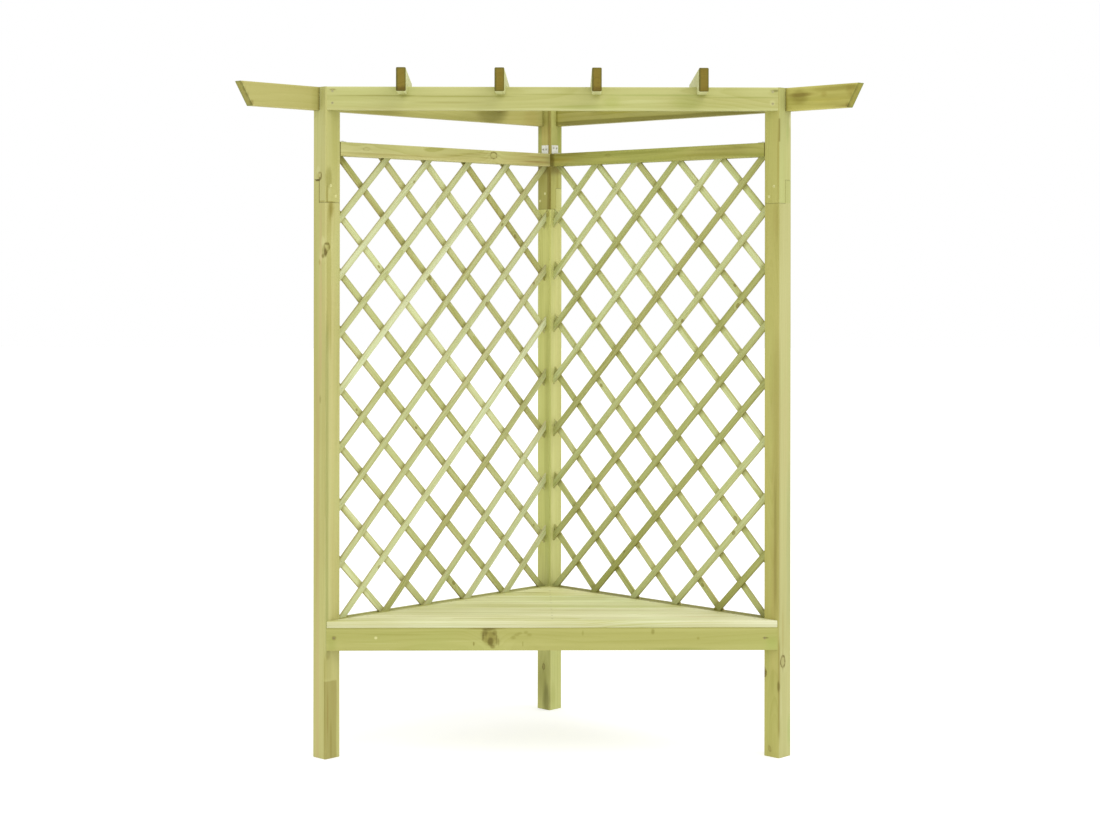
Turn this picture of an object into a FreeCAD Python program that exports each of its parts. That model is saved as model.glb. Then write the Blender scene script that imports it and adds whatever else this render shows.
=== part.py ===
import FreeCAD, Part
import os, math

os.makedirs("parts", exist_ok=True)
V = FreeCAD.Vector

# ---------------------------------------------------------------- driving dimensions (mm)
HALF_FRONT = 650.0      # front edge of a front post to the mirror plane, along X
POST = 55.0             # square post section
HALF = 27.5             # half of the post: notch depth and lap thickness
POST_R = 3.5            # rounding of the posts' long edges
TOTAL_H = 1970.0        # ground to the top of the rafters

BOARD_T = 27.5          # thickness of beams, rafters and seat rails
BOARD_H = 67.0          # height of beams and rafters
BEAM_TOP = 1925.0
BEAM_BOT = BEAM_TOP - BOARD_H
RAFTER_BOT = TOTAL_H - BOARD_H

LAP_LOW = 1593.0        # lower shoulder of the post half-lap
LAP_HIGH = 1660.0       # upper shoulder
KERF = 0.6              # the lap joint stands open this far each side of its line
KERF_D = 1.5            # and this deep

# side beams: rear corner line to the top and to the bottom of the slanted front end
BEAM_END_LEFT = (1199.0, 1157.0)
BEAM_END_RIGHT = (1174.5, 1135.0)
RECESS = 3.0            # front beam and seat front rail stand this far behind the post edges

RAFTER_X = (-428.9, -152.3, 121.9, 423.1)     # rafter centres at their front ends
RAFTER_SKEW = (-1.16, 1.06, 1.36, 1.60)       # degrees off square, as assembled
RAFTER_FRONT = 108.0    # overhang in front of the post edges
RAFTER_R = 3.5          # rounding of the rafters' long edges
RAFTER_REAR = (410.0, 708.0, 708.0, 410.0)    # where each rafter ends towards the back

RAIL_T = 42.0           # trellis rails: thickness
RAIL_H = 40.0           # and height
TOP_RAIL_BOT = 1729.0
BOT_RAIL_TOP = 395.0
GROOVE_O = 16.0         # groove for the slats: start, from the inner face
GROOVE_D = 15.0         # groove depth
SLAT_W = 20.0
SLAT_T = 6.0
N_SLATS = 12
# slat lines at 45 degrees, (first distance, pitch), measured square to the slats
L_SUM = (405.2, 117.4)      # left panel, u + z = const (falls towards the front post)
L_DIF = (-203.2, 117.8)     # left panel, z - u = const
R_SUM = (407.8, 118.3)
R_DIF = (-196.3, 117.4)

SEAT_TOP = 395.0
SEAT_T = 20.0
SEAT_RAIL_H = 65.0
SEAT_BOARD_W = 113.0
SEAT_GAP = 2.0
SEAT_FRONT = 3.5        # front edge of the first board behind the post edges
SEAT_CLEAR = 0.6        # board ends to the inner plane of the trellis
N_BOARDS = 6

PIN_D = 2.0             # pins through the slat crossings

BR_W = 28.0             # angle bracket: width
BR_L = 28.0             # leg length
BR_T = 2.0              # sheet thickness

R2 = math.sqrt(2.0)
LEG = HALF_FRONT * R2           # inner corner line of the V to the front face of a front post
CLEAR = LEG - POST              # clear length between rear post and front post
SLOT_LOW = BOT_RAIL_TOP - GROOVE_D
SLOT_HIGH = TOP_RAIL_BOT + GROOVE_D
SEAT_Z = SEAT_TOP - SEAT_T

# the origin is on the ground and on the mirror plane, at the middle of the overall box to within
# a centimetre (the side beams overhang unequally)
Y_SHIFT = -273.996

# ---------------------------------------------------------------- frames
# Work frame: X right, Y away from the front, Z up; the front edges of the front posts lie on
# Y = 0 and the front edge of the rear post on (0, HALF_FRONT).
# Leg frame (u, o, z): u runs from the rear post's front edge along one leg of the V towards the
# front post, o runs outwards, square to the leg; o = 0 is the inner plane of the leg.


def to_right(s):
    s = s.copy()
    s.rotate(V(0, 0, 0), V(0, 0, 1), -45.0)
    s.translate(V(0, HALF_FRONT, 0))
    return s


def to_left(s):
    return to_right(s).mirror(V(0, 0, 0), V(1, 0, 0))


def side(s, which):
    return to_left(s) if which == "left" else to_right(s)


def box(x0, x1, y0, y1, z0, z1):
    return Part.makeBox(x1 - x0, y1 - y0, z1 - z0, V(x0, y0, z0))


def bar(x0, x1, y0, y1, z0, z1, axis, r):
    """A timber with its four long edges rounded; axis is the index of its length."""
    b = box(x0, x1, y0, y1, z0, z1)
    if r <= 0:
        return b
    es = []
    for e in b.Edges:
        a, c = e.Vertexes[0].Point, e.Vertexes[1].Point
        d = (abs(c.x - a.x), abs(c.y - a.y), abs(c.z - a.z))
        if d[axis] > 1e-6 and d[(axis + 1) % 3] < 1e-6 and d[(axis + 2) % 3] < 1e-6:
            es.append(e)
    return b.makeFillet(r, es)


def prism(pts, z0, z1):
    w = Part.makePolygon([V(p[0], p[1], z0) for p in pts] + [V(pts[0][0], pts[0][1], z0)])
    return Part.Face(w).extrude(V(0, 0, z1 - z0))


def bb_hit(a, b, pad=0.01):
    p, q = a.BoundBox, b.BoundBox
    return (p.XMin < q.XMax + pad and q.XMin < p.XMax + pad and p.YMin < q.YMax + pad
            and q.YMin < p.YMax + pad and p.ZMin < q.ZMax + pad and q.ZMin < p.ZMax + pad)


def cut(a, tools):
    ts = [t for t in tools if bb_hit(a, t, -0.01)]
    return a.cut(ts) if ts else a


# ---------------------------------------------------------------- fasteners
def wood_screw(p, d, length, r=2.0, rh=4.0):
    """Countersunk wood screw with its head flush at p, pointing along d."""
    hh = rh - r
    head = Part.makeCone(rh, r, hh, V(0, 0, 0), V(0, 0, 1))
    shank = Part.makeCylinder(r, length - hh - 4.0, V(0, 0, hh), V(0, 0, 1))
    tip = Part.makeCone(r, 0.3, 4.0, V(0, 0, length - 4.0), V(0, 0, 1))
    s = head.fuse([shank, tip]).removeSplitter()
    return place(s, p, d)


def pan_screw(p, d, length, r=1.6, rh=3.4, hh=1.6):
    """Pan-head screw; its head sits on the face at p and stands out against d."""
    head = Part.makeCylinder(rh, hh, V(0, 0, -hh), V(0, 0, 1))
    top = [e for e in head.Edges if abs(e.BoundBox.ZMax + hh) < 1e-6 and abs(e.BoundBox.ZMin + hh) < 1e-6]
    head = head.makeFillet(0.9, top)
    shank = Part.makeCylinder(r, length - 3.0, V(0, 0, 0), V(0, 0, 1))
    tip = Part.makeCone(r, 0.3, 3.0, V(0, 0, length - 3.0), V(0, 0, 1))
    s = head.fuse([shank, tip]).removeSplitter()
    return place(s, p, d)


def place(s, p, d):
    s = s.copy()
    d = V(*d)
    d.normalize()
    s.Placement = FreeCAD.Placement(V(*p), FreeCAD.Rotation(V(0, 0, 1), d)).multiply(s.Placement)
    return s


def driven(screws, reach, w, depth):
    """The same screws with a cross recess in the flat face of each head."""
    cross = box(-reach, reach, -w / 2, w / 2, -0.5, depth).fuse(box(-w / 2, w / 2, -reach, reach, -0.5, depth)).removeSplitter()
    out = []
    for s in screws:
        discs = [f for f in s.Faces if f.Surface.TypeId == "Part::GeomPlane" and len(f.Wires) == 1]
        f = max(discs, key=lambda q: q.Area)
        n = f.normalAt(0, 0)
        out.append(s.cut(place(cross, tuple(f.CenterOfMass), (-n.x, -n.y, -n.z))).removeSplitter())
    return out


def both(s_right):
    return [s_right, s_right.mirror(V(0, 0, 0), V(1, 0, 0))]


# ---------------------------------------------------------------- screw layout (work frame)
RIGHT = (1 / R2, -1 / R2, 0.0)      # +u of the right leg
OUT = (1 / R2, 1 / R2, 0.0)         # +o of the right leg


def rp(u, o, z):
    """Point of the right leg in the work frame."""
    return ((u + o) / R2, HALF_FRONT - u / R2 + o / R2, z)


def rd(du, do, dz=0.0):
    return ((du + do) / R2, (-du + do) / R2, dz)


lap_screws = []
for u, z in ((CLEAR + 17.0, 1612.0), (CLEAR + 35.0, 1642.0)):
    lap_screws += both(wood_screw(rp(u, 0, z), rd(0, 1), 45.0))
# rear post: through the upper piece's tongue from the left visible face
for o, z in ((22.0, 1643.0), (44.0, 1620.0)):
    s = wood_screw(rp(0, o, z), rd(-1, 0), 45.0).mirror(V(0, 0, 0), V(1, 0, 0))
    lap_screws.append(s)

beam_screws = []
for z in (BEAM_BOT + 16.0, BEAM_TOP - 18.0):
    beam_screws += both(wood_screw(rp(CLEAR + HALF, POST, z), rd(0, -1), 48.0))
for z in (BEAM_BOT + 14.0, BEAM_TOP - 22.0):      # right beam at the rear post
    beam_screws.append(wood_screw(rp(-HALF / 2, POST, z), rd(0, -1), 46.0))
for z in (BEAM_BOT + 25.0, BEAM_TOP - 11.0):      # left beam at the rear post
    beam_screws.append(wood_screw(rp(-HALF / 2, POST, z), rd(0, -1), 46.0).mirror(V(0, 0, 0), V(1, 0, 0)))

front_beam_screws = []
for z in (1878.0, 1912.0):
    front_beam_screws += both(wood_screw((631.0, RECESS, z), (0, 1, 0), 50.0))

# ---------------------------------------------------------------- side beams
def side_beam(top_u, bot_u):
    b = bar(-POST, top_u, HALF, POST, BEAM_BOT, BEAM_TOP, 0, 2.0)
    # slanted front end
    w = Part.makePolygon([V(bot_u, 0, BEAM_BOT - 5), V(top_u + 50, 0, BEAM_BOT - 5),
                          V(top_u + 50, 0, BEAM_TOP + 5), V(top_u, 0, BEAM_TOP + 5),
                          V(top_u, 0, BEAM_TOP), V(bot_u, 0, BEAM_BOT),
                          V(bot_u, 0, BEAM_BOT - 5)])
    b = to_right(b.cut(Part.Face(w).extrude(V(0, 100, 0))))
    # mitre of the two beams on the mirror plane behind the rear post's tongue
    return b.common(box(0, 1500, -500, 1500, BEAM_BOT - 10, BEAM_TOP + 10))


beam_right = side_beam(*BEAM_END_RIGHT)
beam_left = side_beam(*BEAM_END_LEFT).mirror(V(0, 0, 0), V(1, 0, 0))

# ---------------------------------------------------------------- front beam


def front_bar(z0, z1, r):
    b = bar(-HALF_FRONT, HALF_FRONT, RECESS, RECESS + BOARD_T, z0, z1, 0, r)
    far = 60.0
    # ends lie on the inner planes of the legs: |x| <= HALF_FRONT - y
    pr = prism([(-HALF_FRONT - 1, -1), (HALF_FRONT + 1, -1), (HALF_FRONT - far, far),
                (-HALF_FRONT + far, far)], z0 - 5, z1 + 5)
    return b.common(pr)


front_beam = front_bar(BEAM_BOT, BEAM_TOP, 2.0)

# ---------------------------------------------------------------- rafters
rafters = []
for x, skew, yr in zip(RAFTER_X, RAFTER_SKEW, RAFTER_REAR):
    length = (yr + RAFTER_FRONT) / math.cos(math.radians(skew))
    r = bar(-BOARD_T / 2, BOARD_T / 2, 0, length, RAFTER_BOT, TOTAL_H, 1, RAFTER_R)
    r.rotate(V(0, 0, 0), V(0, 0, 1), -skew)
    r.translate(V(x, -RAFTER_FRONT, 0))
    r = r.cut([front_beam, beam_left, beam_right])
    rafters.append(max(r.Solids, key=lambda q: q.Volume))

rafter_screws = []
for x, skew in zip(RAFTER_X, RAFTER_SKEW):
    t = math.tan(math.radians(skew))
    y0 = RECESS + BOARD_T / 2
    rafter_screws.append(wood_screw((x + t * (y0 + RAFTER_FRONT), y0, TOTAL_H), (0, 0, -1), 90.0))
    # where the rafter's centre line crosses the middle of the side beam (o = 39)
    y = HALF_FRONT
    for _ in range(30):
        xc = x + t * (y + RAFTER_FRONT)
        y = HALF_FRONT - abs(xc) + (HALF + BOARD_T / 2) * R2
    rafter_screws.append(wood_screw((x + t * (y + RAFTER_FRONT), y, TOTAL_H), (0, 0, -1), 90.0))

# ---------------------------------------------------------------- posts
def post_front():
    p = bar(CLEAR, LEG, 0, POST, 0, BEAM_TOP, 2, POST_R)
    lower = p.common(box(CLEAR - 1, LEG + 1, -1, POST + 1, -1, LAP_LOW).fuse(
        box(CLEAR - 1, LEG + 1, HALF, POST + 1, LAP_LOW - 1, LAP_HIGH)))
    upper = p.common(box(CLEAR - 1, LEG + 1, -1, HALF, LAP_LOW, BEAM_TOP).fuse(
        box(CLEAR - 1, LEG + 1, HALF - 1, POST + 1, LAP_HIGH, BEAM_BOT)))
    # the open line round the lap joint
    k, d = KERF, KERF_D
    lines = [box(CLEAR - 1, LEG + 1, -1, d, LAP_LOW - k, LAP_LOW + k),
             box(CLEAR - 1, LEG + 1, POST - d, POST + 1, LAP_HIGH - k, LAP_HIGH + k)]
    for u0, u1 in ((CLEAR - 1, CLEAR + d), (LEG - d, LEG + 1)):
        lines.append(box(u0, u1, -1, HALF, LAP_LOW - k, LAP_LOW + k))
        lines.append(box(u0, u1, HALF - k, HALF + k, LAP_LOW - k, LAP_HIGH + k))
        lines.append(box(u0, u1, HALF, POST + 1, LAP_HIGH - k, LAP_HIGH + k))
    return lower.removeSplitter().cut(lines), upper.removeSplitter().cut(lines)


fl, fu = post_front()
right_lower, right_upper = to_right(fl), to_right(fu)
left_lower, left_upper = to_left(fl), to_left(fu)

# rear post, in the left leg's frame: u from -POST to 0, o from 0 to POST
p = bar(-POST, 0, 0, POST, 0, BEAM_TOP, 2, POST_R)
rl = p.common(box(-POST - 1, 1, -1, POST + 1, -1, LAP_LOW).fuse(
    box(-POST - 1, -HALF, -1, POST + 1, LAP_LOW - 1, LAP_HIGH))).removeSplitter()
ru = p.common(box(-HALF, 1, -1, POST + 1, LAP_LOW, LAP_HIGH + 1).fuse([
    box(-POST - 1, 1, -1, POST + 1, LAP_HIGH, BEAM_BOT),
    box(-HALF, 1, -1, HALF, BEAM_BOT - 1, BEAM_TOP)])).removeSplitter()
k, d = KERF, KERF_D
lines = [box(-d, 1, -1, POST + 1, LAP_LOW - k, LAP_LOW + k),
         box(-POST - 1, -POST + d, -1, POST + 1, LAP_HIGH - k, LAP_HIGH + k)]
for o0, o1 in ((-1, d), (POST - d, POST + 1)):
    lines.append(box(-HALF, 1, o0, o1, LAP_LOW - k, LAP_LOW + k))
    lines.append(box(-HALF - k, -HALF + k, o0, o1, LAP_LOW - k, LAP_HIGH + k))
    lines.append(box(-POST - 1, -HALF, o0, o1, LAP_HIGH - k, LAP_HIGH + k))
rl, ru = rl.cut(lines), ru.cut(lines)
rear_lower, rear_upper = to_left(rl), to_left(ru)

# ---------------------------------------------------------------- trellis rails
def rail(z0, groove_z0, groove_z1):
    b = bar(0, CLEAR, 0, RAIL_T, z0, z0 + RAIL_H, 0, 2.0)
    g = box(-1, CLEAR + 1, GROOVE_O, GROOVE_O + 2 * SLAT_T, groove_z0, groove_z1)
    return b.cut(g)


top_rail = rail(TOP_RAIL_BOT, TOP_RAIL_BOT - 1, SLOT_HIGH)
bot_rail = rail(BOT_RAIL_TOP - RAIL_H, SLOT_LOW, BOT_RAIL_TOP + 1)
right_top_rail, left_top_rail = to_right(top_rail), to_left(top_rail)
right_bot_rail, left_bot_rail = to_right(bot_rail), to_left(bot_rail)

# ---------------------------------------------------------------- slats
WINDOW = (0.0, CLEAR, SLOT_LOW, SLOT_HIGH)


def slat(kind, s, o0):
    """One slat in the leg frame: kind +1 is u + z = s * sqrt2, kind -1 is z - u = s * sqrt2."""
    h = SLAT_W / 2
    c = 0.8
    reach = 1600.0
    # section across the slat (a, o) with eased edges, extruded along the slat
    pts = [(-h + c, o0), (h - c, o0), (h, o0 + c), (h, o0 + SLAT_T - c), (h - c, o0 + SLAT_T),
           (-h + c, o0 + SLAT_T), (-h, o0 + SLAT_T - c), (-h, o0 + c)]
    if kind > 0:
        nu, nz, du, dz = 1 / R2, 1 / R2, -1 / R2, 1 / R2
    else:
        nu, nz, du, dz = -1 / R2, 1 / R2, 1 / R2, 1 / R2
    cu, cz = nu * s, nz * s
    # centre the long blank on the panel
    mid = (CLEAR / 2 - cu) * du + ((SLOT_LOW + SLOT_HIGH) / 2 - cz) * dz
    base = [V(cu + nu * a + du * (mid - reach), o, cz + nz * a + dz * (mid - reach)) for a, o in pts]
    f = Part.Face(Part.makePolygon(base + [base[0]]))
    b = f.extrude(V(du * 2 * reach, 0, dz * 2 * reach))
    win = box(WINDOW[0], WINDOW[1], o0 - 1, o0 + SLAT_T + 1, WINDOW[2], WINDOW[3])
    return b.common(win)


def crossing(s_sum, s_dif):
    return ((s_sum - s_dif) / R2, (s_sum + s_dif) / R2)     # (u, z)


def panel(sums, difs, front_kind):
    front, back, pins = [], [], []
    ss = [sums[0] + sums[1] * k for k in range(N_SLATS)]
    sd = [difs[0] + difs[1] * k for k in range(N_SLATS)]
    for a in ss:
        for b in sd:
            u, z = crossing(a, b)
            if 8.0 < u < CLEAR - 8.0 and BOT_RAIL_TOP + 8.0 < z < TOP_RAIL_BOT - 8.0:
                pins.append(Part.makeCylinder(PIN_D / 2, 2 * SLAT_T, V(u, GROOVE_O, z), V(0, 1, 0)))
    for kind, vals in ((1, ss), (-1, sd)):
        o0 = GROOVE_O if kind == front_kind else GROOVE_O + SLAT_T
        out = front if kind == front_kind else back
        for s in vals:
            b = slat(kind, s, o0)
            out.append(cut(b, pins))
    return front, back, pins


# The slats that rise to the right, seen from the front, are the front layer in both panels
lf, lb, lpins = panel(L_SUM, L_DIF, 1)
rf, rb, rpins = panel(R_SUM, R_DIF, -1)
# in the left panel u runs to the left, so u + z = const rises to the right there
left_front = [to_left(s) for s in lf]
left_back = [to_left(s) for s in lb]
left_pins = [to_left(s) for s in lpins]
right_front = [to_right(s) for s in rf]
right_back = [to_right(s) for s in rb]
right_pins = [to_right(s) for s in rpins]

# ---------------------------------------------------------------- seat frame
seat_rail = front_bar(SEAT_Z - SEAT_RAIL_H, SEAT_Z, 2.0)
sr = bar(-5, LEG, -BOARD_T, 0, SEAT_Z - SEAT_RAIL_H, SEAT_Z, 0, 2.0)
sr = to_right(sr).common(box(0, 1000, RECESS + BOARD_T, 1000, 0, 1000))
seat_rail_right = sr
seat_rail_left = sr.mirror(V(0, 0, 0), V(1, 0, 0))
bearer = bar(-BOARD_T / 2, BOARD_T / 2, RECESS + BOARD_T, HALF_FRONT, SEAT_Z - SEAT_RAIL_H, SEAT_Z, 1, 2.0)
tip_y = HALF_FRONT - BOARD_T * R2
bearer = bearer.common(prism([(-100, 0), (100, 0), (100, tip_y - 100), (0, tip_y), (-100, tip_y - 100)],
                             SEAT_Z - SEAT_RAIL_H - 5, SEAT_Z + 5))

# ---------------------------------------------------------------- seat boards
boards = []
spans = []
y = SEAT_FRONT
lim = HALF_FRONT - SEAT_CLEAR * R2
for i in range(N_BOARDS):
    y1 = min(y + SEAT_BOARD_W, lim)
    if i == N_BOARDS - 1:
        y1 = lim
    spans.append((y, y1))
    b = bar(-HALF_FRONT, HALF_FRONT, y, y1 + (20 if i == N_BOARDS - 1 else 0), SEAT_Z, SEAT_TOP, 0, 2.5)
    tri = prism([(-lim - 10, -10), (lim + 10, -10), (0, lim)], SEAT_Z - 5, SEAT_TOP + 5)
    boards.append(b.common(tri))
    y = y1 + SEAT_GAP

seat_screws = []
for i, (y0, y1) in enumerate(spans):
    if i == 0:
        ys = (45.0, 95.0)
    elif i == N_BOARDS - 1:
        ys = (y0 + 22.0,)
    else:
        ys = ((y0 + y1) / 2 - 32.0, (y0 + y1) / 2 + 32.0)
    for yy in ys:
        seat_screws += both(wood_screw((HALF_FRONT - BOARD_T / 2 * R2 - yy, yy, SEAT_TOP), (0, 0, -1), 45.0, 1.75, 3.5))
        if i < N_BOARDS - 1:
            seat_screws.append(wood_screw((0, yy, SEAT_TOP), (0, 0, -1), 45.0, 1.75, 3.5))

frame_screws = [wood_screw((-625.0, RECESS, 346.5), (0, 1, 0), 44.0),
                wood_screw((609.0, RECESS, 345.0), (0, 1, 0), 35.0)]
for u in (100.0, 430.0, 760.0):
    frame_screws += both(wood_screw(rp(u, -BOARD_T, 364.0), rd(0, 1), 45.0))

# ---------------------------------------------------------------- steel brackets
BR_HOLE_A = 15.0        # screw holes, from the corner, on one leg
BR_HOLE_B = 19.0        # and on the other


def bracket(flat, upright):
    """Angle bracket: one leg on z = 0, the other on x = 0, width along y, centred; with holes."""
    a = box(0, BR_L, -BR_W / 2, BR_W / 2, 0, BR_T)
    b = box(0, BR_T, -BR_W / 2, BR_W / 2, 0, BR_L)
    s = a.fuse(b).removeSplitter()
    inner = [e for e in s.Edges if abs(e.Vertexes[0].Point.x - BR_T) < 1e-6 and abs(e.Vertexes[-1].Point.x - BR_T) < 1e-6
             and abs(e.Vertexes[0].Point.z - BR_T) < 1e-6 and abs(e.Vertexes[-1].Point.z - BR_T) < 1e-6]
    outer = [e for e in s.Edges if abs(e.Vertexes[0].Point.x) < 1e-6 and abs(e.Vertexes[-1].Point.x) < 1e-6
             and abs(e.Vertexes[0].Point.z) < 1e-6 and abs(e.Vertexes[-1].Point.z) < 1e-6]
    s = s.makeFillet(1.0, inner)
    outer = [e for e in s.Edges if abs(e.BoundBox.XMax) < 1e-6 and abs(e.BoundBox.ZMax) < 1e-6]
    s = s.makeFillet(2.4, outer)
    holes = []
    for yy in (-7.0, 7.0):
        holes.append(Part.makeCylinder(1.6, 10, V(flat, yy, -3), V(0, 0, 1)))
        holes.append(Part.makeCylinder(1.6, 10, V(-3, yy, upright), V(1, 0, 0)))
    return s.cut(holes)


# the same bracket, turned end for end, so that the screws of two neighbours pass each other
BR = (bracket(BR_HOLE_A, BR_HOLE_B), bracket(BR_HOLE_B, BR_HOLE_A))


def br_at(corner, ex, ez, turned=0):
    """Bracket and its four screws; ex runs along the flat leg, ez along the upright leg."""
    flat, upright = (BR_HOLE_A, BR_HOLE_B) if not turned else (BR_HOLE_B, BR_HOLE_A)
    ex, ez = V(*ex), V(*ez)
    ey = ez.cross(ex)
    m = FreeCAD.Matrix(ex.x, ey.x, ez.x, corner[0], ex.y, ey.y, ez.y, corner[1], ex.z, ey.z, ez.z, corner[2], 0, 0, 0, 1)
    pl = FreeCAD.Placement(m)
    b = BR[turned].copy()
    b.Placement = pl.multiply(b.Placement)
    scr = []
    for yy in (-7.0, 7.0):
        for q, d in (((flat, yy, BR_T), (0, 0, -1)), ((BR_T, yy, upright), (-1, 0, 0))):
            s = pan_screw(q, d, 20.0)
            s.Placement = pl.multiply(s.Placement)
            scr.append(s)
    return b, scr


top_brackets, bottom_brackets, bearer_brackets, bracket_screws = [], [], [], []
BR_O = RAIL_T / 2
zt = TOP_RAIL_BOT + RAIL_H
zb = BOT_RAIL_TOP - RAIL_H
for u, du in ((0.0, 1.0), (CLEAR, -1.0)):
    for turned in (0, 1):
        pick = 1 if turned else 0           # the right leg, then its mirror image on the left
        b, s = br_at(rp(u, BR_O, zt), rd(du, 0), (0, 0, 1), turned)
        top_brackets.append(both(b)[pick])
        bracket_screws += [both(q)[pick] for q in s]
        b, s = br_at(rp(u, BR_O, zb), rd(du, 0), (0, 0, -1), turned)
        bottom_brackets.append(both(b)[pick])
        bracket_screws += [both(q)[pick] for q in s]
# bearer to the seat front rail, one each side; a shorter reach, so the screws stay in the timber
zc = SEAT_Z - SEAT_RAIL_H / 2
b, s = br_at((BOARD_T / 2, RECESS + BOARD_T, zc), (1, 0, 0), (0, 1, 0))
bearer_brackets += both(b)

# ---------------------------------------------------------------- plate under the rear seat corner
pz = SEAT_Z - SEAT_RAIL_H
PL_T = 2.5
plate = prism([(-58, 560), (58, 560), (58, 578), (0, 636), (-58, 578)], pz - PL_T, pz)
plate_screws = []
for x, yy in ((38.0, 592.0 - 3.0), (0.0, 574.0), (19.0, 610.0)):
    s = pan_screw((x, yy, pz - PL_T), (0, 0, 1), 20.0)
    plate_screws += both(s) if x else [s]
plate = plate.cut(plate_screws)
bracket_screws += plate_screws

# short screws at the bearer, staggered so that the two sides do not meet
for x_dir in (1.0, -1.0):
    for dz in (-7.0, 7.0):
        bracket_screws.append(pan_screw((x_dir * (BOARD_T / 2 + BR_HOLE_A), RECESS + BOARD_T + BR_T, zc + dz), (0, -1, 0), 17.0))
        bracket_screws.append(pan_screw((x_dir * (BOARD_T / 2 + BR_T), RECESS + BOARD_T + BR_HOLE_B, zc + dz), (-x_dir, 0, 0), 12.0))

# ---------------------------------------------------------------- holes for every screw
all_screws = lap_screws + beam_screws + front_beam_screws + rafter_screws + seat_screws + frame_screws + bracket_screws

nodes = {}


def put(name, shape):
    nodes[name] = shape if isinstance(shape, list) else [shape]


put("left_post_lower", cut(left_lower, all_screws))
put("left_post_upper", cut(left_upper, all_screws))
put("right_post_lower", cut(right_lower, all_screws))
put("right_post_upper", cut(right_upper, all_screws))
put("rear_post_lower", cut(rear_lower, all_screws))
put("rear_post_upper", cut(rear_upper, all_screws))
put("left_side_beam", cut(beam_left, all_screws))
put("right_side_beam", cut(beam_right, all_screws))
put("front_beam", cut(front_beam, all_screws))
for n, r in zip(("rafter_outer_left", "rafter_inner_left", "rafter_inner_right", "rafter_outer_right"), rafters):
    put(n, cut(r, all_screws))
put("left_trellis_top_rail", cut(left_top_rail, all_screws))
put("left_trellis_bottom_rail", cut(left_bot_rail, all_screws))
put("right_trellis_top_rail", cut(right_top_rail, all_screws))
put("right_trellis_bottom_rail", cut(right_bot_rail, all_screws))
put("left_trellis_front_slats", left_front)
put("left_trellis_back_slats", left_back)
put("right_trellis_front_slats", right_front)
put("right_trellis_back_slats", right_back)
put("left_trellis_pins", left_pins)
put("right_trellis_pins", right_pins)
put("seat_front_rail", cut(seat_rail, all_screws))
put("seat_left_rail", cut(seat_rail_left, all_screws))
put("seat_right_rail", cut(seat_rail_right, all_screws))
put("seat_centre_bearer", cut(bearer, all_screws))
for i, b in enumerate(boards):
    put("seat_board_%d" % (i + 1), cut(b, all_screws))
put("top_rail_brackets", top_brackets)
put("bottom_rail_brackets", bottom_brackets)
put("bearer_brackets", bearer_brackets)
put("seat_corner_plate", plate)
put("post_lap_screws", driven(lap_screws, 2.2, 1.0, 1.4))
put("side_beam_screws", driven(beam_screws, 2.2, 1.0, 1.4))
put("front_beam_screws", driven(front_beam_screws, 2.2, 1.0, 1.4))
put("rafter_screws", driven(rafter_screws, 2.2, 1.0, 1.4))
put("seat_board_screws", driven(seat_screws, 1.9, 0.9, 1.2))
put("seat_frame_screws", driven(frame_screws, 2.2, 1.0, 1.4))
put("bracket_screws", driven(bracket_screws, 1.8, 0.8, 1.1))

# ---------------------------------------------------------------- export
xs, ys, zs = [], [], []
for name, shapes in nodes.items():
    out = []
    for s in shapes:
        for q in s.Solids:
            q = q.copy()
            q.translate(V(0, Y_SHIFT, 0))
            out.append(q)
    sh = out[0] if len(out) == 1 else Part.makeCompound(out)
    bad = [q for q in out if not q.isValid() or q.Volume <= 0]
    b = sh.BoundBox
    xs += [b.XMin, b.XMax]
    ys += [b.YMin, b.YMax]
    zs += [b.ZMin, b.ZMax]
    print("%-28s solids %3d  vol %11.1f cm3  x %8.1f %8.1f  y %8.1f %8.1f  z %8.1f %8.1f %s" % (
        name, len(out), sum(q.Volume for q in out) / 1000.0, b.XMin, b.XMax, b.YMin, b.YMax, b.ZMin, b.ZMax,
        "BAD" if bad else ""))
    sh.exportStep("parts/%s.step" % name)
print("overall x %.2f %.2f  y %.2f %.2f  z %.2f %.2f, nodes %d, Y_SHIFT %.3f" % (
    min(xs), max(xs), min(ys), max(ys), min(zs), max(zs), len(nodes), Y_SHIFT))
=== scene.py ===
import bpy
import math
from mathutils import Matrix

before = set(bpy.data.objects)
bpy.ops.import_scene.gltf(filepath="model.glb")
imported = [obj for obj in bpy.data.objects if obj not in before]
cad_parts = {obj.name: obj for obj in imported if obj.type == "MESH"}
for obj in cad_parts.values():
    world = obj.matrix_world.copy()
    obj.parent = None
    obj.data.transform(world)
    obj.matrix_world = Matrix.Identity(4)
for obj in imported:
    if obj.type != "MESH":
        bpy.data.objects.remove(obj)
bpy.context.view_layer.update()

# ---------------------------------------------------------------- layout, in metres
# Work frame of the part: Y_SHIFT moves the line through the front posts' edges to y = 0.
Y_SHIFT = -0.273996
HF = 0.650
POST = 0.055
BOARD_T = 0.0275
BOARD_H = 0.067
BEAM_TOP = 1.925
BEAM_BOT = BEAM_TOP - BOARD_H
R2 = math.sqrt(2.0)
LEG = HF * R2
CLEAR = LEG - POST

U_R, O_R = (1 / R2, -1 / R2, 0.0), (1 / R2, 1 / R2, 0.0)
U_L, O_L = (-1 / R2, -1 / R2, 0.0), (-1 / R2, 1 / R2, 0.0)
UZ = (0.0, 0.0, 1.0)


def leg_point(side, u, o, z):
    U, O = (U_R, O_R) if side == "right" else (U_L, O_L)
    return (U[0] * u + O[0] * o, HF + U[1] * u + O[1] * o + Y_SHIFT, z)


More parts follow.
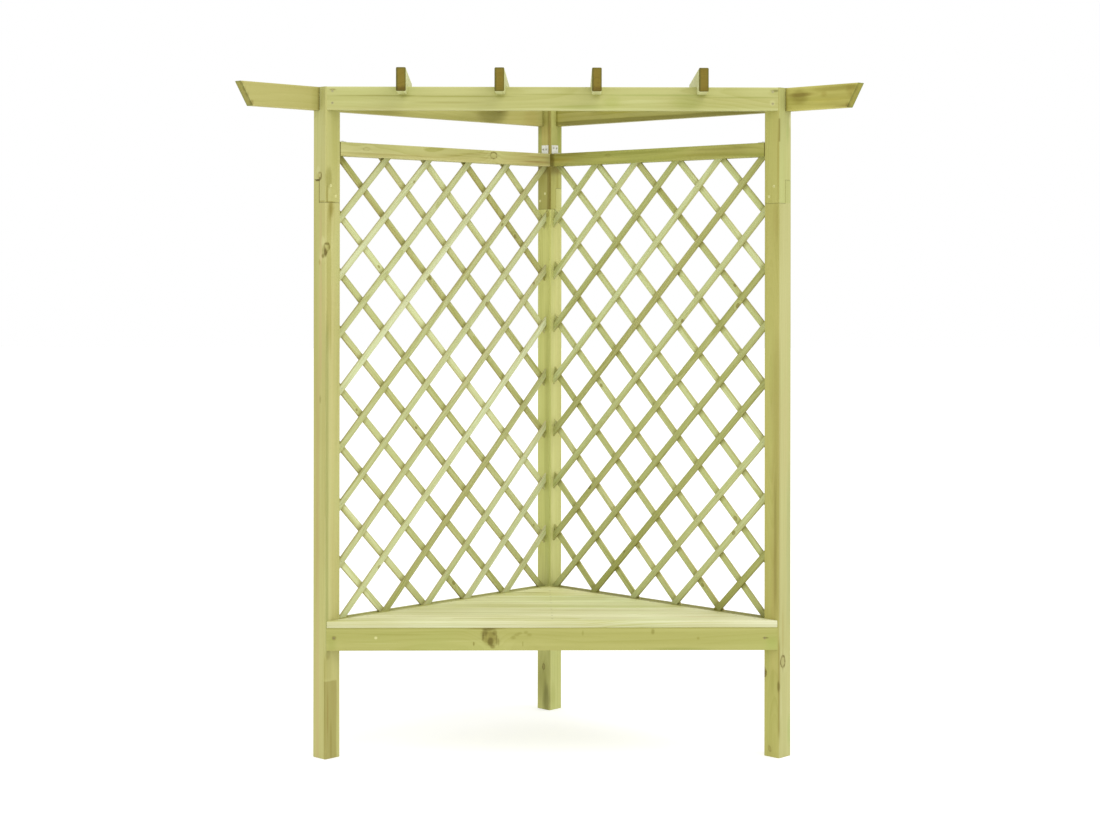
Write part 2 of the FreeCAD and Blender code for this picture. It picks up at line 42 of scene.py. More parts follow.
# ---------------------------------------------------------------- node helper
class NB:
    def __init__(self, tree):
        self.t = tree

    def node(self, kind, **props):
        n = self.t.nodes.new(kind)
        for k, v in props.items():
            setattr(n, k, v)
        return n

    def put(self, socket, v):
        if isinstance(v, bpy.types.NodeSocket):
            self.t.links.new(v, socket)
        else:
            socket.default_value = v

    def math(self, op, a, b=None, c=None, clamp=False):
        n = self.node("ShaderNodeMath", operation=op, use_clamp=clamp)
        self.put(n.inputs[0], a)
        if b is not None:
            self.put(n.inputs[1], b)
        if c is not None:
            self.put(n.inputs[2], c)
        return n.outputs[0]

    def add(self, a, b):
        return self.math("ADD", a, b)

    def sub(self, a, b):
        return self.math("SUBTRACT", a, b)

    def mul(self, a, b):
        return self.math("MULTIPLY", a, b)

    def vmath(self, op, a, b=None, scale=None):
        n = self.node("ShaderNodeVectorMath", operation=op)
        self.put(n.inputs[0], a)
        if b is not None:
            self.put(n.inputs[1], b)
        if scale is not None:
            self.put(n.inputs["Scale"], scale)
        return n.outputs["Value"] if op in ("DOT_PRODUCT", "LENGTH", "DISTANCE") else n.outputs["Vector"]

    def xyz(self, x, y, z):
        n = self.node("ShaderNodeCombineXYZ")
        for s, v in zip(n.inputs, (x, y, z)):
            self.put(s, v)
        return n.outputs[0]

    def sep(self, v):
        n = self.node("ShaderNodeSeparateXYZ")
        self.put(n.inputs[0], v)
        return n.outputs[0], n.outputs[1], n.outputs[2]

    def noise(self, vec, scale=1.0, detail=2.0, rough=0.5, distortion=0.0, color=False):
        n = self.node("ShaderNodeTexNoise", noise_dimensions="3D")
        self.put(n.inputs["Vector"], vec)
        n.inputs["Scale"].default_value = scale
        n.inputs["Detail"].default_value = detail
        n.inputs["Roughness"].default_value = rough
        n.inputs["Distortion"].default_value = distortion
        return n.outputs["Color"] if color else n.outputs[0]

    def white(self, vec):
        n = self.node("ShaderNodeTexWhiteNoise", noise_dimensions="3D")
        self.put(n.inputs["Vector"], vec)
        return n.outputs["Value"], n.outputs["Color"]

    def smooth(self, v, lo, hi, out_lo=0.0, out_hi=1.0):
        n = self.node("ShaderNodeMapRange", interpolation_type="SMOOTHSTEP", clamp=True)
        self.put(n.inputs["Value"], v)
        self.put(n.inputs["From Min"], lo)
        self.put(n.inputs["From Max"], hi)
        self.put(n.inputs["To Min"], out_lo)
        self.put(n.inputs["To Max"], out_hi)
        return n.outputs["Result"]

    def linear(self, v, lo, hi, out_lo=0.0, out_hi=1.0):
        n = self.node("ShaderNodeMapRange", interpolation_type="LINEAR", clamp=True)
        self.put(n.inputs["Value"], v)
        self.put(n.inputs["From Min"], lo)
        self.put(n.inputs["From Max"], hi)
        self.put(n.inputs["To Min"], out_lo)
        self.put(n.inputs["To Max"], out_hi)
        return n.outputs["Result"]

    def mix(self, fac, a, b, blend="MIX"):
        n = self.node("ShaderNodeMix", data_type="RGBA", blend_type=blend, clamp_factor=True)
        self.put(n.inputs[0], fac)
        for s, v in ((n.inputs[6], a), (n.inputs[7], b)):
            if isinstance(v, bpy.types.NodeSocket):
                self.t.links.new(v, s)
            else:
                s.default_value = (*v, 1.0) if len(v) == 3 else v
        return n.outputs[2]

    def mixf(self, fac, a, b):
        n = self.node("ShaderNodeMix", data_type="FLOAT", clamp_factor=True)
        self.put(n.inputs[0], fac)
        self.put(n.inputs[2], a)
        self.put(n.inputs[3], b)
        return n.outputs[0]


def srgb(r, g, b):
    f = lambda c: c / 12.92 if c <= 0.04045 else ((c + 0.055) / 1.055) ** 2.4
    return (f(r / 255.0), f(g / 255.0), f(b / 255.0))


def times(c, k):
    return tuple(min(1.0, max(0.0, x * k)) for x in c)


def toned(c, d):
    """A darker (d < 0) or paler (d > 0) piece of the same wood: blue moves about twice as far as red and green."""
    return (c[0] * (1 + d), c[1] * (1 + d), c[2] * max(0.0, 1 + 2.2 * d))


# ---------------------------------------------------------------- wood
def make_wood_group():
    """Softwood in three dimensions: growth rings round a wandering pith, heartwood, streaks, tint, knots, end grain."""
    g = bpy.data.node_groups.new("softwood", "ShaderNodeTree")
    io = g.interface
    spec = [("P", "NodeSocketVector", None), ("Seed", "NodeSocketFloat", 0.0),
            ("PithY", "NodeSocketFloat", 0.05), ("PithZ", "NodeSocketFloat", 0.03),
            ("Ring", "NodeSocketFloat", 0.0045), ("Base", "NodeSocketColor", (0.43, 0.42, 0.16, 1)),
            ("RingAmt", "NodeSocketFloat", 0.16), ("StreakAmt", "NodeSocketFloat", 0.35),
            ("BroadAmt", "NodeSocketFloat", 0.35), ("PatchAmt", "NodeSocketFloat", 0.5),
            ("BlushAmt", "NodeSocketFloat", 0.5), ("HeartR", "NodeSocketFloat", 0.0),
            ("HeartAmt", "NodeSocketFloat", 0.0), ("Across", "NodeSocketFloat", 60.0),
            ("Broad", "NodeSocketFloat", 14.0),
            ("Knot", "NodeSocketFloat", 0.0), ("Rim", "NodeSocketFloat", 0.0), ("Halo", "NodeSocketFloat", 0.0),
            ("Warp", "NodeSocketFloat", 0.0), ("End", "NodeSocketFloat", 0.0),
            ("EndBase", "NodeSocketColor", (0.25, 0.2, 0.06, 1)), ("EndRim", "NodeSocketFloat", 0.0)]
    for n, kind, dv in spec:
        s = io.new_socket(n, in_out="INPUT", socket_type=kind)
        if dv is not None:
            s.default_value = dv
    io.new_socket("Color", in_out="OUTPUT", socket_type="NodeSocketColor")
    io.new_socket("Height", in_out="OUTPUT", socket_type="NodeSocketFloat")
    io.new_socket("Rough", in_out="OUTPUT", socket_type="NodeSocketFloat")
    b = NB(g)
    gi, go = b.node("NodeGroupInput"), b.node("NodeGroupOutput")
    I = gi.outputs
    x, y, z = b.sep(I["P"])
    seed = I["Seed"]
    sv = b.xyz(b.mul(seed, 13.7), b.mul(seed, 5.3), b.mul(seed, 9.1))

    def stretched(kx, ky, kz, off):
        v = b.xyz(b.mul(x, kx), b.mul(y, ky), b.mul(z, kz))
        return b.vmath("ADD", b.vmath("ADD", v, sv), (off, off * 1.7, -off * 0.6))

    # the pith wanders along the timber, so wide faces show long tongues and narrow ones lines
    wa = b.sep(b.vmath("SUBTRACT", b.noise(stretched(1.1, 2.0, 2.0, 0.0), 1.0, 1.0, color=True), (0.5, 0.5, 0.5)))
    wb = b.sep(b.vmath("SUBTRACT", b.noise(stretched(5.0, 20.0, 20.0, 3.1), 1.0, 2.0, color=True), (0.5, 0.5, 0.5)))
    yy = b.add(b.sub(y, I["PithY"]), b.add(b.mul(wa[1], 0.070), b.mul(wb[1], 0.006)))
    zz = b.add(b.sub(z, I["PithZ"]), b.add(b.mul(wa[2], 0.070), b.mul(wb[2], 0.006)))
    r = b.math("SQRT", b.add(b.mul(yy, yy), b.mul(zz, zz)))
    r = b.add(r, I["Warp"])
    rv = b.math("DIVIDE", r, I["Ring"])
    # uneven ring widths
    wob = b.noise(b.xyz(b.mul(rv, 0.45), seed, 0.3), 1.0, 1.0)
    rv = b.add(rv, b.mul(wob, 2.2))
    f = b.math("FRACT", rv)
    ring = b.mul(b.math("POWER", f, 2.0), b.smooth(f, 1.0, 0.86))
    # the latewood of some rings is heavier than that of others
    heavy = b.noise(b.xyz(b.math("FLOOR", rv), b.add(seed, 4.0), b.mul(x, 1.5)), 0.9, 0.0)
    ring = b.mul(ring, b.smooth(heavy, 0.25, 0.75, 0.35, 1.35))

    streak = b.noise(b.vmath("ADD", b.vmath("ADD", b.xyz(b.mul(x, 1.7), b.mul(y, I["Across"]), b.mul(z, I["Across"])), sv),
                             (7.7, 13.1, -4.6)), 1.0, 3.0, 0.5)
    broad = b.noise(b.vmath("ADD", b.vmath("ADD", b.xyz(b.mul(x, 0.9), b.mul(y, I["Broad"]), b.mul(z, I["Broad"])), sv),
                            (1.3, 2.2, -0.8)), 1.0, 2.0)
    cloud = b.noise(stretched(2.6, 6.0, 6.0, 5.9), 1.0, 2.0)
    fibre = b.noise(stretched(20.0, 380.0, 380.0, 2.4), 1.0, 2.0)
    fleck = b.noise(stretched(45.0, 700.0, 700.0, 8.8), 1.0, 1.0)

    d = b.mul(b.sub(0.26, ring), I["RingAmt"])
    d = b.add(d, b.mul(b.sub(streak, 0.5), I["StreakAmt"]))
    d = b.add(d, b.mul(b.sub(broad, 0.5), I["BroadAmt"]))
    d = b.add(d, b.mul(b.sub(cloud, 0.5), b.mul(I["BroadAmt"], 0.6)))
    d = b.add(d, b.mul(b.sub(fibre, 0.5), 0.05))
    d = b.sub(d, b.mul(b.smooth(fleck, 0.66, 0.80), 0.020))
    k1 = b.add(d, 1.0)
    k2 = b.math("MAXIMUM", b.add(b.mul(d, 2.1), 1.0), 0.2)
    col = b.mix(1.0, I["Base"], b.xyz(k1, k1, k2), "MULTIPLY")
    # heartwood is browner, with a soft edge
    he = b.smooth(b.sub(I["HeartR"], r), -0.003, 0.004)
    col = b.mix(b.mul(he, I["HeartAmt"]), col, (0.84, 0.77, 0.62), "MULTIPLY")
    # green of the preservative, stronger in places
    col = b.mix(b.mul(b.smooth(cloud, 0.45, 0.70), I["PatchAmt"]), col, (0.90, 0.975, 0.84), "MULTIPLY")
    # pinkish tan where it took less
    bl = b.smooth(b.noise(stretched(0.8, 30.0, 30.0, 12.3), 1.0, 2.0), 0.48, 0.72)
    col = b.mix(b.mul(bl, I["BlushAmt"]), col, (1.02, 0.90, 0.90), "MULTIPLY")
    # pale grain swirling round a knot, its dark rim, its heart with rings of its own
    col = b.mix(b.mul(I["Halo"], 0.9), col, (1.10, 1.11, 1.22), "MULTIPLY")
    kr = b.smooth(b.noise(b.vmath("SCALE", I["P"], scale=260.0), 1.0, 2.0), 0.35, 0.7)
    kcol = b.mix(kr, (0.72, 0.65, 0.46), (0.52, 0.45, 0.28))
    col = b.mix(I["Knot"], col, kcol, "MULTIPLY")
    col = b.mix(I["Rim"], col, (0.40, 0.33, 0.19), "MULTIPLY")
    # end grain: rings, fine radial checks
    ang = b.math("ARCTAN2", zz, yy)
    chk = b.noise(b.xyz(b.mul(ang, 22.0), b.mul(r, 25.0), seed), 1.0, 2.0)
    eg = b.math("ADD", b.mul(ring, 0.55), b.mul(b.sub(0.5, cloud), 0.5))
    eg = b.add(eg, b.mul(b.smooth(chk, 0.62, 0.72), 0.35))
    eg = b.add(eg, b.mul(b.sub(b.noise(b.vmath("ADD", I["P"], sv), 500.0, 2.0), 0.5), 0.35))
    ecol = b.mix(b.smooth(eg, -0.2, 1.0), I["EndBase"], b.mix(1.0, I["EndBase"], (0.60, 0.52, 0.38), "MULTIPLY"))
    ecol = b.mix(I["EndRim"], ecol, b.mix(1.0, I["EndBase"], (0.72, 0.80, 0.80), "MULTIPLY"))
    col = b.mix(I["End"], col, ecol)
    h = b.sub(b.mul(fibre, 0.40), b.mul(ring, 0.45))
    h = b.sub(h, b.mul(b.smooth(fleck, 0.62, 0.8), 0.4))
    h = b.sub(h, b.mul(I["Rim"], 1.4))
    h = b.add(h, b.mul(I["Knot"], 0.4))
    rough = b.add(0.62, b.mul(b.sub(streak, 0.5), 0.22))
    rough = b.add(rough, b.mul(I["End"], 0.22))
    rough = b.sub(rough, b.mul(I["Knot"], 0.12))
    b.put(go.inputs["Color"], col)
    b.put(go.inputs["Height"], h)
    b.put(go.inputs["Rough"], rough)
    return g


def make_knot_group():
    """One branch knot through the timber along Axis at C: heart, dark rim that may be broken, pale halo."""
    g = bpy.data.node_groups.new("knot", "ShaderNodeTree")
    io = g.interface
    for n, kind in (("P", "NodeSocketVector"), ("C", "NodeSocketVector"), ("Axis", "NodeSocketVector"),
                    ("R", "NodeSocketFloat"), ("Stretch", "NodeSocketFloat"), ("Core", "NodeSocketFloat"),
                    ("RimAmt", "NodeSocketFloat"), ("HaloAmt", "NodeSocketFloat"), ("Lean", "NodeSocketFloat")):
        io.new_socket(n, in_out="INPUT", socket_type=kind)
    for n in ("Knot", "Rim", "Halo", "Warp"):
        io.new_socket(n, in_out="OUTPUT", socket_type="NodeSocketFloat")
    b = NB(g)
    gi, go = b.node("NodeGroupInput"), b.node("NodeGroupOutput")
    I = gi.outputs
    d = b.vmath("SUBTRACT", I["P"], I["C"])
    along = b.vmath("DOT_PRODUCT", d, I["Axis"])
    d = b.vmath("SUBTRACT", d, b.vmath("SCALE", I["Axis"], scale=along))
    dx, dy, dz = b.sep(d)
    side = b.add(dy, dz)
    dx = b.add(dx, b.mul(side, I["Lean"]))
    wide = b.math("SQRT", b.add(b.mul(dy, dy), b.mul(dz, dz)))
    q = b.math("DIVIDE", dx, I["Stretch"])
    dist = b.math("DIVIDE", b.math("SQRT", b.add(b.mul(q, q), b.mul(wide, wide))), I["R"])
    wob = b.noise(b.vmath("SCALE", I["P"], scale=70.0), 1.0, 2.0)
    dist = b.add(dist, b.mul(b.sub(wob, 0.5), 0.45))
    core = b.mul(b.smooth(dist, 1.0, 0.72), I["Core"])
    broken = b.smooth(b.noise(b.vmath("SCALE", I["P"], scale=110.0), 1.0, 1.0), 0.30, 0.62, 0.35, 1.0)
    rim = b.mul(b.mul(b.smooth(dist, 1.30, 1.0), b.smooth(dist, 0.62, 0.92)), b.mul(I["RimAmt"], broken))
    # the tail that grain drags out above and below
    tail = b.mul(b.smooth(b.math("ABSOLUTE", side), b.mul(I["R"], 0.45), 0.0), b.smooth(dist, 2.6, 0.9))
    rim = b.math("MAXIMUM", rim, b.mul(b.mul(tail, b.smooth(dist, 0.9, 1.1)), b.mul(I["RimAmt"], 0.35)))
    halo = b.mul(b.mul(b.smooth(dist, 3.0, 1.5), b.smooth(dist, 1.05, 1.5)), I["HaloAmt"])
    # the grain flows round the knot
    e = b.mul(b.mul(dist, dist), -0.22)
    warp = b.mul(b.mul(b.math("EXPONENT", e), I["R"]), 0.8)
    b.put(go.inputs["Knot"], core)
    b.put(go.inputs["Rim"], rim)
    b.put(go.inputs["Halo"], halo)
    b.put(go.inputs["Warp"], warp)
    return g


def make_mark_and_shade_group():
    """A soft mark on the wood, used for stains and for painted shade: an ellipsoid at C with a ragged edge, at half its
    strength at the half sizes S.
    """
    g = bpy.data.node_groups.new("mark_and_shade", "ShaderNodeTree")
    io = g.interface
    for n, kind in (("P", "NodeSocketVector"), ("C", "NodeSocketVector"), ("S", "NodeSocketVector"),
                    ("Soft", "NodeSocketFloat"), ("Strength", "NodeSocketFloat")):
        io.new_socket(n, in_out="INPUT", socket_type=kind)
    io.new_socket("Mask", in_out="OUTPUT", socket_type="NodeSocketFloat")
    b = NB(g)
    gi, go = b.node("NodeGroupInput"), b.node("NodeGroupOutput")
    I = gi.outputs
    v = b.vmath("DIVIDE", b.vmath("SUBTRACT", I["P"], I["C"]), I["S"])
    dist = b.vmath("LENGTH", v)
    px, py, pz = b.sep(I["P"])
    wob = b.noise(b.xyz(b.mul(px, 22.0), b.mul(py, 120.0), b.mul(pz, 120.0)), 1.0, 2.0)
    dist = b.add(dist, b.mul(b.sub(wob, 0.5), 0.7))
    m = b.smooth(dist, b.add(1.0, I["Soft"]), b.sub(1.0, I["Soft"]))
    b.put(go.inputs["Mask"], b.mul(m, I["Strength"]))
    return g


def make_band_group():
    """A stripe or patch bounded by Lo and Hi in each direction, with edges as soft as Soft says."""
    g = bpy.data.node_groups.new("band", "ShaderNodeTree")
    io = g.interface
    for n, kind in (("P", "NodeSocketVector"), ("Lo", "NodeSocketVector"), ("Hi", "NodeSocketVector"),
                    ("Soft", "NodeSocketVector"), ("Strength", "NodeSocketFloat")):
        io.new_socket(n, in_out="INPUT", socket_type=kind)
    io.new_socket("Mask", in_out="OUTPUT", socket_type="NodeSocketFloat")
    b = NB(g)
    gi, go = b.node("NodeGroupInput"), b.node("NodeGroupOutput")
    I = gi.outputs
    px, py, pz = b.sep(I["P"])
    wob = b.noise(b.xyz(b.mul(px, 9.0), b.mul(py, 90.0), b.mul(pz, 90.0)), 1.0, 2.0, color=True)
    v = b.vmath("ADD", I["P"], b.vmath("MULTIPLY", b.vmath("SUBTRACT", wob, (0.5, 0.5, 0.5)),
                                       b.vmath("SCALE", I["Soft"], scale=1.6)))
    m = I["Strength"]
    for p, lo, hi, so in zip(b.sep(v), b.sep(I["Lo"]), b.sep(I["Hi"]), b.sep(I["Soft"])):
        m = b.mul(m, b.smooth(p, b.sub(lo, so), b.add(lo, so)))
        m = b.mul(m, b.smooth(p, b.add(hi, so), b.sub(hi, so)))
    b.put(go.inputs["Mask"], m)
    return g


WOOD = make_wood_group()
KNOT = make_knot_group()
MARK_AND_SHADE = make_mark_and_shade_group()
BAND = make_band_group()

BASE = srgb(178, 175, 110)
BROWN = (0.58, 0.51, 0.34)
DARKER = (0.76, 0.72, 0.58)
PALE = (1.10, 1.11, 1.25)
OLIVE = (0.66, 0.66, 0.48)
END = srgb(142, 128, 66)


def local_axes(b, c, ex, ey, ez):
    """Object coordinates turned into a timber's own: x along the grain, y across its width, z through it."""
    tc = b.node("ShaderNodeTexCoord")
    d = b.vmath("SUBTRACT", tc.outputs["Object"], tuple(c))
    x = b.vmath("DOT_PRODUCT", d, tuple(ex))
    y = b.vmath("DOT_PRODUCT", d, tuple(ey))
    z = b.vmath("DOT_PRODUCT", d, tuple(ez))
    N = tc.outputs["Normal"]
    nx = b.vmath("DOT_PRODUCT", N, tuple(ex))
    ny = b.vmath("DOT_PRODUCT", N, tuple(ey))
    nz = b.vmath("DOT_PRODUCT", N, tuple(ez))
    end = b.smooth(b.math("ABSOLUTE", nx), 0.55, 0.85)
    return x, y, z, end, ny, nz


def cell_knots(b, x, y, seed, cell, prob, r0, r1, half):
    """Small knots scattered one to a cell along a slat or board."""
    xs = b.add(b.math("DIVIDE", x, cell), b.mul(seed, 3.37))
    xi = b.math("FLOOR", xs)
    val, colr = b.white(b.xyz(xi, b.mul(seed, 7.13), 2.5))
    rr, rg, rb = b.sep(colr)
    x0 = b.add(0.25, b.mul(rr, 0.5))
    dx = b.mul(b.sub(b.math("FRACT", xs), x0), cell)
    dy = b.sub(y, b.mul(b.sub(rg, 0.5), 2.0 * half))
    rad = b.add(r0, b.mul(b.mul(rb, rb), r1 - r0))
    dist = b.math("DIVIDE", b.math("SQRT", b.add(b.mul(b.mul(dx, dx), 0.55), b.mul(dy, dy))), rad)
    on = b.math("LESS_THAN", val, prob)
    wob = b.noise(b.xyz(b.mul(x, 90.0), b.mul(y, 90.0), seed), 1.0, 1.0)
    dist = b.add(dist, b.mul(b.sub(wob, 0.5), 0.6))
    knot = b.mul(b.smooth(dist, 1.0, 0.7), on)
    rim = b.mul(b.mul(b.smooth(dist, 1.3, 1.0), b.smooth(dist, 0.6, 0.95)), b.mul(on, 0.55))
    warp = b.mul(b.mul(b.math("EXPONENT", b.mul(b.mul(dist, dist), -0.2)), rad), b.mul(on, 0.9))
    return knot, rim, warp


def wood_material(name, c, ex, ey, ez, seed, base=BASE, pith=(0.05, 0.03), ring=0.0045, ring_amt=0.16, streak=0.30,
                  broad=0.35, patch=0.4, blush=0.4, heart=(0.0, 0.0), across=60.0, wide=14.0, knots=(), marks=(), bands=(),
                  faces=(), lines=(), cells=None, end=END, end_rim=None, index=None, tint=0.0, cross=None,
                  bump=0.30, edge=None, edge_tone=(1.07, 1.07, 1.14)):
    m = bpy.data.materials.new(name)
    m.use_nodes = True
    t = m.node_tree
    t.nodes.clear()
    b = NB(t)
    out = b.node("ShaderNodeOutputMaterial")
    bsdf = b.node("ShaderNodeBsdfPrincipled")
    t.links.new(bsdf.outputs[0], out.inputs[0])
    x, y, z, e, ny, nz = local_axes(b, c, ex, ey, ez)
    s = seed
    k = None
    if index:
        # several alike timbers in one node: y is measured from the first, pitch apart
        first, pitch = index
        k = b.math("ROUND", b.math("DIVIDE", b.sub(y, first), pitch))
        y = b.sub(y, b.add(first, b.mul(k, pitch)))
        s = b.add(seed, b.mul(k, 0.731))
    P = b.xyz(x, y, z)
    g = b.node("ShaderNodeGroup")
    g.node_tree = WOOD
    b.put(g.inputs["P"], P)
    b.put(g.inputs["Seed"], s)
    g.inputs["PithY"].default_value = pith[0]
    g.inputs["PithZ"].default_value = pith[1]
    g.inputs["Ring"].default_value = ring
    g.inputs["Base"].default_value = (*base, 1.0)
    if k is not None:
        # each slat is cut from another place in the log and has a tone of its own
        v, col = b.white(b.xyz(k, seed, 0.7))
        ra, rb, rc = b.sep(col)
        b.put(g.inputs["PithY"], b.mul(b.sub(ra, 0.5), 0.06))
        b.put(g.inputs["PithZ"], b.add(0.012, b.mul(rb, 0.05)))
        h = b.math("FRACT", b.mul(b.math("SINE", b.add(b.mul(k, 1.7), seed)), 43.7))
        d = b.mul(b.sub(h, 0.5), 2.0 * tint)
        tone = b.xyz(b.add(1.0, d), b.add(1.0, b.mul(d, 1.08)), b.add(1.0, b.mul(d, 2.1)))
        b.t.links.new(b.mix(1.0, base, tone, "MULTIPLY"), g.inputs["Base"])
        b.put(g.inputs["BlushAmt"], b.smooth(b.add(b.mul(h, -1.0), b.mul(rc, 0.6)), -0.5, 0.4, 0.15 * blush, 1.5 * blush))
    else:
        g.inputs["BlushAmt"].default_value = blush
    g.inputs["RingAmt"].default_value = ring_amt
    g.inputs["StreakAmt"].default_value = streak
    g.inputs["BroadAmt"].default_value = broad
    g.inputs["PatchAmt"].default_value = patch
    g.inputs["HeartR"].default_value = heart[0]
    g.inputs["HeartAmt"].default_value = heart[1]
    g.inputs["Across"].default_value = across
    g.inputs["Broad"].default_value = wide
    g.inputs["EndBase"].default_value = (*end, 1.0)
    b.put(g.inputs["End"], e)
    if end_rim:
        # the weathered border of a sawn end
        hy, hz = end_rim
        inset = b.math("MAXIMUM", b.sub(b.math("ABSOLUTE", y), hy), b.sub(b.math("ABSOLUTE", z), hz))
        inset = b.add(inset, b.mul(b.sub(b.noise(P, 60.0, 2.0), 0.5), 0.006))
        b.put(g.inputs["EndRim"], b.smooth(inset, -0.0065, -0.0015))
    kn, ri, ha, wa = [], [], [], []
    for (kx, ky, kz, axis, r, stretch, core, rim, halo, lean) in knots:
        q = b.node("ShaderNodeGroup")
        q.node_tree = KNOT
        b.put(q.inputs["P"], P)
        q.inputs["C"].default_value = (kx, ky, kz)
        q.inputs["Axis"].default_value = axis
        q.inputs["R"].default_value = r
        q.inputs["Stretch"].default_value = stretch
        q.inputs["Core"].default_value = core
        q.inputs["RimAmt"].default_value = rim
        q.inputs["HaloAmt"].default_value = halo
        q.inputs["Lean"].default_value = lean
        for lst, n in ((kn, "Knot"), (ri, "Rim"), (ha, "Halo"), (wa, "Warp")):
            lst.append(q.outputs[n])
    if cells:
        a, r_, w_ = cell_knots(b, x, y, s, *cells)
        kn.append(a)
        ri.append(r_)
        wa.append(w_)

    def joined(vals, op):
        v = vals[0]
        for u in vals[1:]:
            v = b.math(op, v, u)
        return v

    for lst, n, op in ((kn, "Knot", "MAXIMUM"), (ri, "Rim", "MAXIMUM"), (ha, "Halo", "MAXIMUM"), (wa, "Warp", "ADD")):
        if lst:
            b.put(g.inputs[n], joined(lst, op))
    col = g.outputs["Color"]
    for (which, tone, amt) in faces:
        n = {"+y": ny, "-y": b.mul(ny, -1.0), "+z": nz, "-z": b.mul(nz, -1.0),
             "y": b.math("ABSOLUTE", ny), "z": b.math("ABSOLUTE", nz)}[which]
        col = b.mix(b.mul(b.smooth(n, 0.45, 0.90), amt), col, tone, "MULTIPLY")
    if edge:
        # arrises: colour multiplied by edge_tone near the long edges; paler arrises are partly wear, partly a painted
        # highlight on the rounded edges
        hy, hz = edge
        ay = b.smooth(b.math("ABSOLUTE", y), hy - 0.0045, hy - 0.0012)
        az = b.smooth(b.math("ABSOLUTE", z), hz - 0.0045, hz - 0.0012)
        m_ = b.mul(b.mul(ay, az), b.sub(1.0, e))
        col = b.mix(m_, col, edge_tone, "MULTIPLY")
    if cross:
        # painted shade on a slat beside each crossing of the other layer
        c0, cp, amt = cross
        u = b.math("DIVIDE", b.sub(x, c0), cp)
        dx = b.mul(b.math("ABSOLUTE", b.sub(u, b.math("ROUND", u))), cp)
        wv = b.noise(b.xyz(b.mul(x, 60.0), b.mul(y, 120.0), s), 1.0, 2.0)
        dx = b.add(dx, b.mul(b.sub(wv, 0.5), 0.008))
        col = b.mix(b.mul(b.smooth(dx, 0.026, 0.011), amt), col, (0.66, 0.62, 0.45), "MULTIPLY")
    for (mc, ms, tone, amt, soft) in marks:
        q = b.node("ShaderNodeGroup")
        q.node_tree = MARK_AND_SHADE
        b.put(q.inputs["P"], P)
        q.inputs["C"].default_value = mc
        q.inputs["S"].default_value = ms
        q.inputs["Soft"].default_value = soft
        q.inputs["Strength"].default_value = amt
        col = b.mix(q.outputs["Mask"], col, tone, "MULTIPLY")
    for (blo, bhi, bsoft, tone, amt) in bands:
        q = b.node("ShaderNodeGroup")
        q.node_tree = BAND
        b.put(q.inputs["P"], P)
        q.inputs["Lo"].default_value = blo
        q.inputs["Hi"].default_value = bhi
        q.inputs["Soft"].default_value = bsoft
        q.inputs["Strength"].default_value = amt
        col = b.mix(q.outputs["Mask"], col, tone, "MULTIPLY")
    for (coord, at, half, tone, amt) in lines:
        # a line along one coordinate: joint lines, runs of dirt, and painted highlights along rounded edges
        v = {"x": x, "y": y, "z": z}[coord]
        wv = b.noise(b.xyz(b.mul(x, 14.0), b.mul(y, 14.0), b.mul(z, 14.0)), 1.0, 2.0)
        dd = b.math("ABSOLUTE", b.sub(v, at))
        col = b.mix(b.mul(b.smooth(dd, half, half * 0.3), b.mul(b.smooth(wv, 0.2, 0.6, 0.6, 1.0), amt)), col, tone, "MULTIPLY")
    b.put(bsdf.inputs["Base Color"], col)
    b.put(bsdf.inputs["Roughness"], g.outputs["Rough"])
    bsdf.inputs["Specular IOR Level"].default_value = 0.30
    bp = b.node("ShaderNodeBump")
    bp.inputs["Strength"].default_value = bump
    bp.inputs["Distance"].default_value = 0.0005
    b.put(bp.inputs["Height"], g.outputs["Height"])
    b.put(bsdf.inputs["Normal"], bp.outputs["Normal"])
    return m


def steel_material(name, base, rough, spangle=0.5, rust=0.0, metal=0.85):
    m = bpy.data.materials.new(name)
    m.use_nodes = True
    t = m.node_tree
    t.nodes.clear()
    b = NB(t)
    out = b.node("ShaderNodeOutputMaterial")
    bsdf = b.node("ShaderNodeBsdfPrincipled")
    t.links.new(bsdf.outputs[0], out.inputs[0])
    tc = b.node("ShaderNodeTexCoord")
    v = b.node("ShaderNodeTexVoronoi")
    v.inputs["Scale"].default_value = 260.0
    b.put(v.inputs["Vector"], tc.outputs["Object"])
    n = b.noise(tc.outputs["Object"], 90.0, 4.0, 0.6)
    n2 = b.noise(tc.outputs["Object"], 700.0, 3.0, 0.6)
    cell = b.sep(v.outputs["Color"])[0]
    f = b.add(b.mul(b.sub(cell, 0.5), 0.16 * spangle), b.add(0.93, b.mul(b.sub(n, 0.5), 0.30)))
    col = b.mix(1.0, base, b.xyz(f, f, f), "MULTIPLY")
    if rust:
        col = b.mix(b.mul(b.smooth(n, 0.60, 0.74), rust), col, (0.23, 0.10, 0.03))
    b.put(bsdf.inputs["Base Color"], col)
    b.put(bsdf.inputs["Roughness"], b.add(rough, b.mul(b.sub(n2, 0.5), 0.25)))
    bsdf.inputs["Metallic"].default_value = metal
    bp = b.node("ShaderNodeBump")
    bp.inputs["Strength"].default_value = 0.25
    bp.inputs["Distance"].default_value = 0.0002
    b.put(bp.inputs["Height"], n2)
    b.put(bsdf.inputs["Normal"], bp.outputs["Normal"])
    return m


def give(node, material):
    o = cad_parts[node]
    o.data.materials.clear()
    o.data.materials.append(material)


# ---------------------------------------------------------------- timbers
def axes(kind, side="right"):
    U, O = (U_R, O_R) if side == "right" else (U_L, O_L)
    if kind == "post":
        return UZ, U, O
    if kind == "leg":
        return U, UZ, O
    if kind == "x":
        return (1, 0, 0), (0, 0, 1), (0, 1, 0)
    if kind == "board":
        return (1, 0, 0), (0, 1, 0), (0, 0, 1)
    if kind == "y":
        return (0, 1, 0), (0, 0, 1), (1, 0, 0)


ZN = (0.0, 0.0, 1.0)
YN = (0.0, 1.0, 0.0)
ARRIS = (0.0, 1 / R2, -1 / R2)
HP = POST / 2

